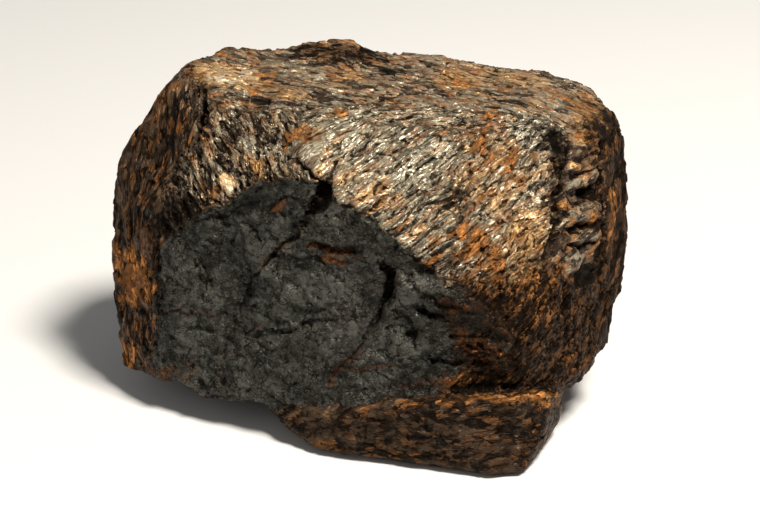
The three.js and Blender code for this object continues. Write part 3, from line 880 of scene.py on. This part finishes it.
@dataclass
class Lump:
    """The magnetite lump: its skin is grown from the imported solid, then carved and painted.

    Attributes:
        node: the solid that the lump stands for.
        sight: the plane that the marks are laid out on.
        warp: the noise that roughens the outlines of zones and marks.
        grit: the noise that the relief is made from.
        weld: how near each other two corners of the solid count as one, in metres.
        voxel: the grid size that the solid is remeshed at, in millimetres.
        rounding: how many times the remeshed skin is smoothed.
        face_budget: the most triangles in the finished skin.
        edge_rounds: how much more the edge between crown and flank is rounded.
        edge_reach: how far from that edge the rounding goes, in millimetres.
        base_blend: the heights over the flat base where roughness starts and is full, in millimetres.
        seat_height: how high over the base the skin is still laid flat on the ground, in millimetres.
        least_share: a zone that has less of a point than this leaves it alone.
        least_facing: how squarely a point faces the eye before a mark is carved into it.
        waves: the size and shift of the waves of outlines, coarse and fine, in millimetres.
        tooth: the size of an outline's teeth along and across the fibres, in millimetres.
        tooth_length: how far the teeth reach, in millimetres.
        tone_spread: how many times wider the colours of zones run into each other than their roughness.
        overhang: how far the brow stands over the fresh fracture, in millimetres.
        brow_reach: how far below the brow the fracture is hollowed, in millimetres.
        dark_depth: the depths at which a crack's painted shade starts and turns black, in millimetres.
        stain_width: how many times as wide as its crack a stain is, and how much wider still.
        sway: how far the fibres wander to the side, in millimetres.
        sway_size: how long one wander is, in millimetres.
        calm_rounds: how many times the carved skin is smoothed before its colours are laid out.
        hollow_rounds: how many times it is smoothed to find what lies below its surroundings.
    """

    # Each layer of the relief is the same noise, shifted so that none repeats another.
    SPLIT_SHIFT, SWAY_SHIFT, THREAD_SHIFT, SWELL_SHIFT, WAVE_SHIFT = 2.0, 3.0, 4.0, 7.0, 9.0
    GAP = 0.10  # how near its middle value the noise opens a gap between fibres
    DIP = 0.6  # how far a wandering fibre dips for its sideways wander
    LEAN = 0.35  # how far the edge of a shingle leans along the fibres
    WAVER, WAVER_SIZE = 1.3, 3.0  # how far that edge wavers, and how long its waves are, in pitches
    TREAD = 0.8  # the share of a shingle that slopes
    CRISPNESS = 4  # how crisply zones of the hidden skin part
    TINY = 1e-6  # keeps the sum of a point's shares off zero

    node: str = NODE
    sight: Sight = field(default_factory=Sight)
    warp: Grit = field(default_factory=lambda: Grit(5))
    grit: Grit = field(default_factory=lambda: Grit(11))
    weld: float = 1e-6
    voxel: float = 0.55
    rounding: int = 10
    face_budget: int = 196_000
    edge_rounds: int = 220
    edge_reach: float = 7.5
    base_blend: tuple[float, float] = (0.2, 2.0)
    seat_height: float = 0.12
    least_share: float = 0.01
    least_facing: float = 0.05
    waves: tuple[tuple[float, float], ...] = ((3.4, 0.7), (1.1, 0.3))
    tooth: Triple = (5.0, 0.9, 0.9)
    tooth_length: float = 0.7
    tone_spread: float = 3.5
    overhang: float = 0.9
    brow_reach: float = 3.6
    dark_depth: tuple[float, float] = (0.1, 1.1)
    stain_width: tuple[float, float] = (2.4, 0.6)
    sway: float = 0.6
    sway_size: float = 6.0
    calm_rounds: int = 6
    hollow_rounds: int = 5

    def build(self) -> bpy.types.Object:
        """Makes the finished lump, in metres.

        Returns:
            The object, with its attributes and finish.
        """
        lump = self._remeshed()
        skin = Skin(lump.data)
        self._carve(skin)
        skin.store()
        self._through(lump, [("DECIMATE", {"ratio": self.face_budget / self._triangles(lump.data)})])
        skin = Skin(lump.data)
        self._seat(skin)
        skin.store()
        self._paint(skin)
        lump.data.transform(Matrix.Scale(MM, 4))
        lump.name = "magnetite_lump"
        lump.data.materials.clear()
        lump.data.materials.append(OreFinish().material())
        lump.data.shade_smooth()
        LOG.info("%s: %d triangles", lump.name, self._triangles(lump.data))
        return lump

    def _remeshed(self) -> bpy.types.Object:
        """Copies the solid in millimetres, merged, remeshed evenly, rounded and made dense.

        Returns:
            The copy, linked to the scene.
        """
        bm = bmesh.new()
        bm.from_mesh(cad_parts[self.node].data)
        bmesh.ops.remove_doubles(bm, verts=bm.verts, dist=self.weld)
        bmesh.ops.scale(bm, vec=(1 / MM,) * 3, verts=bm.verts)
        mesh = bpy.data.meshes.new("lump_skin")
        bm.to_mesh(mesh)
        bm.free()
        made = bpy.data.objects.new("lump_skin", mesh)
        bpy.context.scene.collection.objects.link(made)
        self._through(made, [
            ("REMESH", {"mode": "VOXEL", "voxel_size": self.voxel}),
            ("SMOOTH", {"factor": 0.5, "iterations": self.rounding}),
        ])
        self._round_crown_edge(Skin(made.data))
        self._through(made, [("SUBSURF", {"levels": 1, "render_levels": 1})])
        return made

    def _round_crown_edge(self, skin: Skin) -> None:
        """Rounds the edge between crown and flank where it faces the eye.

        Args:
            skin: the remeshed skin.
        """
        distance, _ = _distance_to_line(self.sight.lay(skin.points), np.array(CROWN_EDGE))
        seen = self.sight.toward(skin.points, skin.normals()) > 0.0
        share = skin.averaged(smooth_step(distance, self.edge_reach, 0.0) * seen, self.rounding)[:, None]
        skin.points = skin.points + share * (skin.averaged(skin.points, self.edge_rounds) - skin.points)
        skin.store()

    @staticmethod
    def _through(made: bpy.types.Object, steps: list[tuple[str, dict[str, object]]]) -> None:
        """Applies modifiers to an object's mesh.

        Args:
            made: the object.
            steps: each modifier's type and settings, in order.
        """
        for kind, settings in steps:
            modifier = made.modifiers.new(kind, kind)
            for name, value in settings.items():
                setattr(modifier, name, value)
        graph = bpy.context.evaluated_depsgraph_get()
        finished = bpy.data.meshes.new_from_object(made.evaluated_get(graph))
        made.modifiers.clear()
        made.data = finished

    @staticmethod
    def _triangles(mesh: bpy.types.Mesh) -> int:
        """How many triangles a mesh has."""
        return sum(len(face.vertices) - 2 for face in mesh.polygons)

    def _shares(self, points: Array, normals: Array, spread: float = 1.0) -> Array:
        """How much of each zone lies on each point.

        Args:
            points: places on the skin.
            normals: the way that each faces.
            spread: how many times wider than usual the outlines fade.

        Returns:
            One column for each zone; each row adds up to 1.
        """
        places = self._seen(points)
        seen = self.sight.sees(points, normals)
        shares = np.zeros((len(points), len(ZONES)))
        for i, zone in enumerate(ZONES):
            if zone.outline:
                shares[:, i] = zone.outline.cover(places, spread) * seen
            else:
                shares[:, i] = np.clip(normals @ np.array(zone.normal), 0.0, 1.0) ** self.CRISPNESS
        outlined = np.array([zone.outline is not None for zone in ZONES])
        front = np.clip(shares[:, outlined].sum(axis=1), 0.0, 1.0)
        shares[:, ~outlined] *= (1.0 - front)[:, None]
        return shares / np.maximum(shares.sum(axis=1), self.TINY)[:, None]

    def _seen(self, points: Array, ragged: bool = True) -> Array:
        """Where points lie on the sight plane, shifted a little so that no outline runs smooth.

        Args:
            points: places on the skin.
            ragged: whether they are also shifted finely and along the fibres.

        Returns:
            Their across and up, one row each.
        """
        places = self.sight.lay(points)
        for size, shift in self.waves if ragged else self.waves[:1]:
            sideways = self.warp.soft(points / size)
            upward = self.warp.soft(points[:, ::-1] / size + self.WAVE_SHIFT)
            places = places + shift * np.stack([sideways, upward], axis=1)
        if not ragged:
            return places
        axes = FLANK.axes(self.sight)
        teeth = self.warp.soft(points @ axes.T / self.tooth)
        along = np.array([axes[0] @ self.sight.across, axes[0] @ self.sight.up])
        return places + self.tooth_length * teeth[:, None] * along

    def _carve(self, skin: Skin) -> None:
        """Gives the skin its roughness, its cracks and its raised patches.

        Args:
            skin: the dense skin.
        """
        points = skin.points.copy()
        normals = skin.normals()
        shares = self._shares(points, normals)
        rise = np.zeros(len(points))
        for i, zone in enumerate(ZONES):
            here = shares[:, i] > self.least_share
            if here.any():
                rise[here] += shares[here, i] * self._relief(zone, points[here])
        places = self._seen(points)
        below_brow, _ = _distance_to_line(places, np.array((*BROW_LEFT[3:], *BROW_RIGHT[1:])))
        fresh = shares @ np.array([zone.tone.fresh for zone in ZONES])
        rise -= self.overhang * fresh * smooth_step(below_brow, self.brow_reach, 0.0)
        seen = self.sight.toward(points, normals) > self.least_facing
        # Worn patches flatten the roughness. Cracks then cut through it, and raised patches lift it whole.
        for patch in PATCHES:
            if patch.kind is Kind.CALM:
                rise *= 1.0 - patch.amount * patch.cover(places) * seen
        for crack in CRACKS:
            depth, _ = crack.reach(places)
            rise -= np.where(seen, depth, 0.0)
        places = self._seen(points, ragged=False)
        for patch in PATCHES:
            if patch.rise:
                rise += np.where(seen, patch.rise * patch.cover(places), 0.0)
        # The base stays flat.
        rise *= smooth_step(points[:, 2], *self.base_blend)
        skin.points = points + normals * rise[:, None]

    def _bend(self, points: Array) -> Array:
        """How far the fibres wander to the side at each point."""
        return self.sway * self.grit.soft(points / self.sway_size + self.SWAY_SHIFT)

    def _relief(self, zone: Zone, points: Array) -> Array:
        """Makes one zone's roughness, from its splinters to its broad swells.

        Args:
            zone: the zone.
            points: places on the skin.

        Returns:
            The height at each place, in millimetres.
        """
        relief, grit = zone.relief, self.grit
        # Places along the fibres, across them and out of the skin, bent as the fibres wander.
        local = points @ zone.axes(self.sight).T
        bend = self._bend(points)
        local = local + np.stack([np.zeros(len(points)), bend, self.DIP * bend], axis=1)
        length, width, height = relief.plate
        rise = height * grit.facets(local / (length, width, width))
        length, width, depth = relief.split
        middle = np.abs(grit.soft(local / (length, width, width) + self.SPLIT_SHIFT))
        rise -= depth * smooth_step(middle, self.GAP, 0.0)
        for (length, width, height), shift in ((relief.fibre, 0.0), (relief.thread, self.THREAD_SHIFT)):
            rise += height * (grit.ridges(local / (length, width, width) + shift) - 0.5)
        pitch, height = relief.shingle
        waver = self.WAVER * grit.soft(local / (self.WAVER_SIZE * pitch))
        step = local[:, 1] / pitch + self.LEAN * local[:, 0] / pitch + waver
        rise += height * (smooth_step(step - np.floor(step), 0.0, self.TREAD) - 0.5)
        size, tilt = relief.facet
        rise += tilt * size * grit.facets(points / size)
        size, height = relief.lump
        return rise + height * grit.soft(points / size + self.SWELL_SHIFT)

    def _seat(self, skin: Skin) -> None:
        """Keeps the base flat on the ground."""
        height = skin.points[:, 2]
        skin.points[:, 2] = np.where(height < self.seat_height, 0.0, height)

    def _paint(self, skin: Skin) -> None:
        """Stores what the finish needs on the skin: tones, cracks, hollows for painted shade, and fibre
        coordinates.

        Args:
            skin: the finished skin.
        """
        # Colours are laid out on a calmer skin, so that they don't jump from splinter to splinter.
        calm = skin.averaged(skin.points, self.calm_rounds)
        normals = skin.averaged(skin.normals(), self.calm_rounds)
        normals /= np.linalg.norm(normals, axis=1, keepdims=True)
        shares = self._shares(calm, normals)
        places = self._seen(calm)
        seen = self.sight.sees(calm, normals)
        blurred = self._shares(calm, normals, self.tone_spread)
        for kind in Kind:
            mixed = shares if kind is Kind.FRESH else blurred
            amounts = mixed @ np.array([getattr(zone.tone, kind.value) for zone in ZONES])
            for patch in PATCHES:
                if patch.kind is kind:
                    amounts = amounts + patch.amount * patch.cover(places) * seen
            skin.paint(kind.value, amounts)
        self._paint_cracks(skin, places, seen)
        # How far each point lies below its surroundings, which the finish paints with shade.
        hollow = (skin.averaged(skin.points, self.hollow_rounds) - skin.points) * normals
        skin.paint("hollow", hollow.sum(axis=1))
        self._paint_grain(skin, shares.argmax(axis=1))

    def _paint_cracks(self, skin: Skin, places: Array, seen: Array) -> None:
        """Stores how dark each point is painted with shade in cracks, and how stained beside them.

        Args:
            skin: the finished skin.
            places: where its points lie on the sight plane.
            seen: how fully marks show on each.
        """
        dark = np.zeros(len(places))
        stain = np.zeros(len(places))
        for crack in CRACKS:
            depth, near = crack.reach(places)
            # Painted shade: the deeper the crack, the darker it is painted.
            dark = np.maximum(dark, near * smooth_step(depth, *self.dark_depth) * seen)
            _, near = crack.widened(*self.stain_width).reach(places)
            stain = np.maximum(stain, crack.rusty * near * seen)
        skin.paint("crack", dark)
        skin.paint("stain", stain)

    def _paint_grain(self, skin: Skin, main: Array) -> None:
        """Stores the fibre coordinates of each point.

        Args:
            skin: the finished skin.
            main: the number of the zone that has most of each point.
        """
        frames = np.stack([zone.axes(self.sight) for zone in ZONES])
        grain = np.einsum("nij,nj->ni", frames[main], skin.points)
        grain[:, 1] += self._bend(skin.points)
        grain[:, 0] /= np.array([zone.relief.stretch for zone in ZONES])[main]
        grain *= np.array([zone.relief.fineness for zone in ZONES])[main, None]
        skin.paint("grain", grain)


# ---- The finish --------


@dataclass(frozen=True)
class Weave:
    """What the finish is mixed from.

    Attributes:
        painted: the attributes that are painted on the skin.
        cloud, mottle, grit: soft noise, from broad to fine.
        band, strand, speck: noise that runs along the fibres, from broad to fine.
        split: thin gaps between the fibres.
        vein: thin crooked lines.
        chink: the edges of the chips that a fresh break leaves.
        plate, flake, chip, crag: flat cells that tilt their own way, each a height and a number.
    """

    painted: dict[str, Wire]
    cloud: Wire
    mottle: Wire
    grit: Wire
    band: Wire
    strand: Wire
    speck: Wire
    split: Wire
    vein: Wire
    chink: Wire
    plate: tuple[Wire, Wire]
    flake: tuple[Wire, Wire]
    chip: tuple[Wire, Wire]
    crag: tuple[Wire, Wire]

    @classmethod
    def of(cls, tree: Tree) -> "Weave":
        """Lays the noises out in millimetres, in place or along the painted grain.

        Args:
            tree: the material's tree.

        Returns:
            The noises.
        """
        grain = tree.painted("grain", "Vector")
        metres = tree.node("ShaderNodeTexCoord", {}, {}, "Object")
        place = tree.vector("MULTIPLY", metres, (1 / MM,) * 3)
        cloud = tree.noise(place, (6.0, 6.0, 6.0), 3.0, 0.6)
        mottle = tree.noise(place, (1.5, 1.5, 1.5), 4.0, 0.65)
        band = tree.noise(grain, (11.0, 1.8, 1.8), 2.0, 0.5)
        line = tree.noise(grain, (7.0, 0.95, 0.95), 1.0, 0.45)
        crackle = cls._near_middle(band, 0.035) * mottle.rising(0.38, 0.58)
        seam = cls._near_middle(line, 0.055) * cloud.rising(0.35, 0.6)
        thread = cls._near_middle(tree.noise(place, (3.6, 3.6, 2.2), 3.0, 0.6), 0.014)
        sockets = {"Vector": place, "Scale": 0.5, "Detail": 2.0}
        sway = tree.node("ShaderNodeTexNoise", {}, sockets, "Color")
        bent = tree.vector("MULTIPLY_ADD", sway, (2.4, 2.4, 2.4), place)
        bent = tree.vector("DIVIDE", bent, (3.0, 3.0, 2.0))
        sockets = {"Vector": bent, "Scale": 1.0}
        edge = tree.node("ShaderNodeTexVoronoi", {"feature": "DISTANCE_TO_EDGE"}, sockets)
        names = (*(kind.value for kind in Kind), "crack", "stain", "hollow")
        return cls(
            painted={name: tree.painted(name) for name in names},
            cloud=cloud,
            mottle=mottle,
            grit=tree.noise(place, (0.28, 0.28, 0.28), 2.0, 0.6),
            band=band,
            strand=tree.noise(grain, (4.0, 0.8, 0.8), 3.0, 0.65),
            speck=tree.noise(grain, (1.1, 0.28, 0.28), 2.0, 0.7),
            split=crackle + seam * 0.8 - crackle * seam * 0.8,
            vein=thread * mottle.rising(0.36, 0.56),
            chink=edge.rising(0.045, 0.0) * (mottle + cloud).rising(0.96, 1.12),
            plate=cls._cells(tree, tree.vector("DIVIDE", grain, (3.2, 1.1, 1.1))),
            flake=cls._cells(tree, tree.vector("DIVIDE", grain, (1.3, 0.42, 0.42))),
            chip=cls._cells(tree, tree.vector("DIVIDE", place, (0.32, 0.32, 0.32))),
            crag=cls._cells(tree, bent),
        )

    @staticmethod
    def _near_middle(value: Wire, width: float) -> Wire:
        """Thin lines where soft noise passes its middle value."""
        return (value - 0.5).size().rising(width, 0.0)

    @staticmethod
    def _cells(tree: Tree, place: Wire) -> tuple[Wire, Wire]:
        """Flat cells that each tilt their own way.

        Args:
            tree: the material's tree.
            place: the place, with a cell in each unit.

        Returns:
            The cells' height, and a number from 0 to 1 for each cell.
        """
        middle = tree.node("ShaderNodeTexVoronoi", {}, {"Vector": place, "Scale": 1.0}, "Position")
        lean = tree.node("ShaderNodeTexVoronoi", {}, {"Vector": place, "Scale": 1.0}, "Color")
        away = tree.vector("SUBTRACT", place, middle)
        tilt = tree.vector("SUBTRACT", lean, (0.5, 0.5, 0.5))
        height = tree.vector("DOT_PRODUCT", away, tilt, output="Value")
        return height, tree.node("ShaderNodeSeparateColor", {}, {0: lean})


@dataclass(frozen=True)
class Coat:
    """What one kind of surface gives to the shader; its height is in millimetres."""

    colour: Wire
    metal: Wire
    rough: Wire
    height: Wire


@dataclass(frozen=True)
class OreFinish:
    """Weathered and fresh magnetite.

    Attributes:
        umber, bark, ash: the weathered ore from its grooves to its crests, partly painted shade in the
        grooves and painted light on the crests.
        painted_glint: the painted glints on its fibres.
        straw, rose, gold: the golden fibres.
        sienna, ochre, amber: rust, from thin and dark to thick and pale.
        soot_and_shade: the dark coat, and the black of painted shade in hollows and cracks.
        coal, slate, moss_and_sheen: the fresh fracture, from dark to pale; the pale greenish grey is
            partly
        painted sheen.
        painted_sparkle_grey: the painted sparkles on the fracture.
        sheen: how strongly the ore reflects beside its metallic part.
    """

    umber: Triple = (0.022, 0.014, 0.009)
    bark: Triple = (0.125, 0.078, 0.047)
    ash: Triple = (0.42, 0.385, 0.275)
    painted_glint: Triple = (0.94, 0.86, 0.67)
    straw: Triple = (0.46, 0.27, 0.115)
    rose: Triple = (0.50, 0.235, 0.105)
    gold: Triple = (0.92, 0.55, 0.21)
    sienna: Triple = (0.105, 0.040, 0.014)
    ochre: Triple = (0.38, 0.145, 0.028)
    amber: Triple = (0.72, 0.31, 0.09)
    soot_and_shade: Triple = (0.009, 0.006, 0.004)
    coal: Triple = (0.015, 0.014, 0.011)
    slate: Triple = (0.072, 0.068, 0.057)
    moss_and_sheen: Triple = (0.115, 0.116, 0.097)
    painted_sparkle_grey: Triple = (0.32, 0.31, 0.27)
    sheen: float = 0.15

    def material(self) -> bpy.types.Material:
        """Mixes the weathered ore and the fresh fracture, and paints shade into hollows and cracks.

        Returns:
            The finished material.
        """
        tree = Tree("magnetite_ore")
        weave = Weave.of(tree)
        worn = self._worn(tree, weave)
        broken = self._broken(tree, weave)
        painted = weave.painted
        fresh = painted["fresh"] + (weave.mottle - 0.5) * 1.5 + (weave.speck - 0.5) * 0.6
        fresh = fresh.rising(0.38, 0.62)
        # Painted shade: hollows and deep cracks are blended towards black and made more metallic.
        hollow_shade = painted["hollow"].rising(0.01, 0.13) * (0.85 - fresh * 0.5)
        hollow_and_crack_shade = 1.0 - (1.0 - hollow_shade) * (1.0 - painted["crack"] * 0.9)
        colour = tree.blend(fresh, worn.colour, broken.colour)
        matte = 1.0 - worn.metal * (1.0 - fresh) - broken.metal * fresh
        height = worn.height * (1.0 - fresh) + broken.height * fresh
        sockets = {"Strength": 1.0, "Distance": MM, "Height": height}
        bump = tree.node("ShaderNodeBump", {}, sockets, "Normal")
        for name, value in {
            "Base Color": tree.blend(hollow_and_crack_shade, colour, self.soot_and_shade),
            "Metallic": 1.0 - matte * (1.0 - hollow_and_crack_shade),
            "Roughness": worn.rough * (1.0 - fresh) + broken.rough * fresh,
            "Normal": bump,
            "Specular IOR Level": self.sheen,
        }.items():
            tree.feed(tree.shader.inputs[name], value)
        return tree.material

    def _worn(self, tree: Tree, weave: Weave) -> Coat:
        """The weathered ore: umber to ash fibres, painted glints, gilt, rust, soot and painted shade.

        Args:
            tree: the material's tree.
            weave: its noises and painted attributes.

        Returns:
            The coat.
        """
        painted = weave.painted
        plate, plate_number = weave.plate
        flake, flake_number = weave.flake
        cloud, mottle, speck = weave.cloud - 0.5, weave.mottle - 0.5, weave.speck - 0.5
        fine = weave.strand * 0.22 + weave.speck * 0.24 + weave.grit * 0.16 + flake_number * 0.12 - 0.37
        crest = weave.band * 0.16 + plate_number * 0.22 + 0.37 + fine * (1.0 - painted["calm"] * 0.7)
        crest = crest.rising(0.39, 0.71)
        clean = painted["shade"].rising(0.0, -0.35)
        gaps = weave.split * (1.0 - painted["calm"] * 0.5)
        crest = (crest + (1.0 - crest) * clean * 0.45) * (1.0 - gaps)
        # Partly painted shade and light: the same noises that raise the fibres make the grooves umber and
        # the crests paler.
        colour = tree.blend(crest.rising(0.0, 0.6), self.umber, self.bark)
        pale = crest * 0.6 + painted["silver"] * 0.9 + cloud + (plate_number - 0.5) * 0.5
        colour = tree.blend(pale.rising(0.5, 1.1) * (0.25 + crest * 0.75), colour, self.ash)
        golden = painted["gold"] + cloud * 1.8 + (plate_number - 0.5) * 0.8 + (weave.band - 0.5) * 1.8
        flushed = (plate_number * 0.6 + weave.cloud * 0.4 + mottle * 0.8).rising(0.52, 0.68)
        warm = tree.blend(flushed, self.straw, self.rose)
        colour = tree.blend(golden.rising(0.20, 0.9) * (0.25 + crest * 0.6), colour, warm)
        gilt = (golden + (flake_number - 0.5) * 0.9).rising(0.85, 1.5)
        colour = tree.blend(gilt * (0.2 + crest * 0.7), colour, self.gold)
        # Painted highlights: the brightest flecks are blended to painted_glint, a pale glint colour, and
        # made a little smoother and more metallic.
        bright = (weave.speck.rising(0.42, 0.70) * 0.40 + weave.grit.rising(0.40, 0.62) * 0.25
                  + flake_number * 0.35 + plate_number * 0.28 + painted["silver"] * 0.30)
        glint = bright.rising(0.93, 1.18) * (1.0 - weave.split) * (1.0 - painted["calm"] * 0.4)
        colour = tree.blend(glint, colour, self.painted_glint)
        rust = painted["rust"] + mottle * 1.6 + cloud * 1.4 + speck * 1.4 + (plate_number - 0.5) * 0.8
        rusty = rust.rising(0.3, 0.8)
        colour = tree.blend(rust.rising(0.20, 0.75) * 0.85, colour, self.sienna)
        colour = tree.blend(rust.rising(0.45, 1.05) * (0.3 + 0.7 * crest), colour, self.ochre)
        colour = tree.blend(rust.rising(0.80, 1.4) * crest.rising(0.3, 0.9) * 0.9, colour, self.amber)
        # The shade attribute darkens towards umber and then black: a dark coat, and painted shade in
        # hollows, under the brow and on the right side and foot; the grooves get more of it.
        colour = tree.blend(painted["shade"].rising(0.3, 1.0) * 0.9, colour, self.umber)
        soot_and_shade_cover = painted["shade"] * 0.9 + mottle * 1.3 + speck * 0.9 + cloud * 1.1 + (0.5 - crest) * 0.7
        soot_and_shade_cover = soot_and_shade_cover.rising(0.25, 1.0)
        height = (weave.strand * 0.18 + weave.speck * 0.12 + weave.grit * 0.09
                  + flake * 0.36 + plate * 0.90 - weave.split * 0.40)
        return Coat(
            colour=tree.blend(soot_and_shade_cover * 0.94, colour, self.soot_and_shade),
            metal=1.0 - (0.58 - crest * 0.42 - glint * 0.1 + rusty * 0.4) * (1.0 - soot_and_shade_cover * 0.7),
            rough=0.68 - flake_number * 0.30 - glint * 0.10 + rusty * 0.08 + painted["calm"] * 0.08,
            height=height * (1.0 - painted["calm"] * 0.75),
        )

    def _broken(self, tree: Tree, weave: Weave) -> Coat:
        """The fresh fracture: chipped grey ore, fine dark lines, painted sheen, sparkles and shade, stains
        by its cracks.

        Args:
            tree: the material's tree.
            weave: its noises and painted attributes.

        Returns:
            The coat.
        """
        painted = weave.painted
        chip, chip_number = weave.chip
        crag, crag_number = weave.crag
        cloud, mottle, edge = weave.cloud - 0.5, weave.mottle - 0.5, crag_number - 0.5
        tone = weave.mottle * 0.40 + weave.grit * 0.30 + chip_number * 0.22 + cloud * 0.8 + edge * 0.12
        colour = tree.blend(tone.rising(0.22, 0.68), self.coal, self.slate)
        # Partly painted sheen: broad paler greenish-grey patches on the fracture.
        moss_and_sheen_cover = weave.cloud * 0.7 + weave.band * 0.3 + mottle * 0.6 + edge * 0.15 + painted["silver"] * 0.4
        colour = tree.blend(moss_and_sheen_cover.rising(0.46, 0.68) * 0.6, colour, self.moss_and_sheen)
        # Painted sparkles: sparse pale flecks on the fracture.
        painted_sparkle = (chip_number * 0.7 + weave.speck * 0.5).rising(0.92, 1.04)
        colour = tree.blend(painted_sparkle * 0.6, colour, self.painted_sparkle_grey)
        # Dark blotches, with painted shade where the shade attribute is high, as under the brow.
        blotch_and_shade = painted["shade"] * 0.9 + mottle * 1.9 + (weave.grit - 0.5) * 0.8 + cloud
        blotch_and_shade = blotch_and_shade.rising(0.42, 1.0)
        dark = 1.0 - (1.0 - weave.vein * 0.85) * (1.0 - weave.chink * 0.6) * (1.0 - blotch_and_shade * 0.85)
        colour = tree.blend(dark, colour, self.soot_and_shade)
        stain = painted["stain"] * 0.9 + painted["rust"] + mottle * 1.5 + cloud * 0.8
        colour = tree.blend(stain.rising(0.30, 0.95) * 0.7, colour, self.sienna)
        spots = stain.rising(0.75, 1.3) * 0.45 * weave.grit.rising(0.3, 0.6)
        colour = tree.blend(spots, colour, self.ochre)
        height = (weave.mottle * 0.30 + weave.grit * 0.08 + chip * 0.26 + crag * 0.55
                  - weave.vein * 0.25 - weave.chink * 0.25)
        return Coat(colour, metal=0.5 + dark * 0.4, rough=0.64 - chip_number * 0.34, height=height)


# ---- The studio --------


@dataclass(frozen=True)
class Lamp:
    """A square studio light that points at the lump.

    Attributes:
        name: the lamp's name.
        toward: the direction from the lump to the lamp.
        reach: its distance from the lump, in metres.
        size: the side of its square, in metres.
        watts: its power.
        colour: its colour.
    """

    name: str
    toward: Triple
    reach: float
    size: float
    watts: float
    colour: Triple

    def hang(self, target: Vector) -> None:
        """Adds the lamp to the scene.

        Args:
            target: the place that it points at.
        """
        light = bpy.data.lights.new(self.name, "AREA")
        light.size = self.size
        light.energy = self.watts
        light.color = self.colour
        lamp = bpy.data.objects.new(self.name, light)
        ray = Vector(self.toward).normalized()
        lamp.location = target + ray * self.reach
        lamp.rotation_euler = ray.to_track_quat("Z", "Y").to_euler()
        bpy.context.scene.collection.objects.link(lamp)


@dataclass
class Studio:
    """A pale floor, soft lamps and the camera.

    Attributes:
        sight: where the camera stands and looks.
        view_width: the width that the camera sees at the lump's middle, in metres.
        sensor_width: the width of the camera's sensor, in millimetres.
        clip_start: the nearest that the camera sees, in metres.
        floor_size: the side of the floor, in metres.
        floor_colour: the colour of the floor.
        floor_roughness: how matt the floor is.
        sky_colour: the colour of the light from all around.
        sky_strength: how strong that light is.
        lamps: the lamps.
    """

    sight: Sight
    view_width: float = 0.1182
    sensor_width: float = 36.0
    clip_start: float = 0.01
    floor_size: float = 6.0
    floor_colour: Triple = (0.72, 0.72, 0.71)
    floor_roughness: float = 0.9
    sky_colour: Triple = (0.93, 0.925, 0.91)
    sky_strength: float = 0.19
    lamps: tuple[Lamp, ...] = (
        Lamp("key", (0.32, -0.30, 0.90), 0.60, 0.14, 6.6, (1.0, 0.94, 0.86)),
        Lamp("fill", (-0.70, -0.60, 0.40), 0.80, 0.60, 0.6, (1.0, 0.98, 0.95)),
    )

    def build(self) -> None:
        """Sets up the whole studio."""
        target = Vector(self.sight.middle) * MM
        self._camera(target)
        self._floor()
        for lamp in self.lamps:
            lamp.hang(target)
        world = bpy.data.worlds.new("studio")
        world.use_nodes = True
        sky = world.node_tree.nodes["Background"].inputs
        sky["Color"].default_value = _rgba(self.sky_colour)
        sky["Strength"].default_value = self.sky_strength
        bpy.context.scene.world = world
        bpy.context.scene.view_settings.view_transform = "Standard"

    def _camera(self, target: Vector) -> None:
        """Stands the camera at the eye of the sight plane.

        Args:
            target: the place that it looks at.
        """
        lens = bpy.data.cameras.new("camera")
        lens.sensor_width = self.sensor_width
        lens.lens = self.sensor_width * self.sight.reach * MM / self.view_width
        lens.clip_start = self.clip_start
        camera = bpy.data.objects.new("camera", lens)
        camera.location = Vector(self.sight.eye) * MM
        camera.rotation_euler = (camera.location - target).to_track_quat("Z", "Y").to_euler()
        bpy.context.scene.collection.objects.link(camera)
        bpy.context.scene.camera = camera

    def _floor(self) -> None:
        """Adds the floor that the lump stands on."""
        bm = bmesh.new()
        bmesh.ops.create_grid(bm, x_segments=1, y_segments=1, size=self.floor_size / 2)
        mesh = bpy.data.meshes.new("studio_floor")
        bm.to_mesh(mesh)
        bm.free()
        floor = bpy.data.objects.new("studio_floor", mesh)
        bpy.context.scene.collection.objects.link(floor)
        tree = Tree("pale_paper")
        tree.feed(tree.shader.inputs["Base Color"], _rgba(self.floor_colour))
        tree.feed(tree.shader.inputs["Roughness"], self.floor_roughness)
        mesh.materials.append(tree.material)


def main() -> None:
    """Builds the studio and the lump."""
    logging.basicConfig(level=logging.INFO, format="%(name)s: %(message)s")
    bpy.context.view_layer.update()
    sight = Sight()
    Studio(sight).build()
    LOG.info("studio: floor, lamps and camera")
    lump = Lump(sight=sight).build()
    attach(lump, "root")
    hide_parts(NODE)
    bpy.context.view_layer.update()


if __name__ == "__main__":
    main()
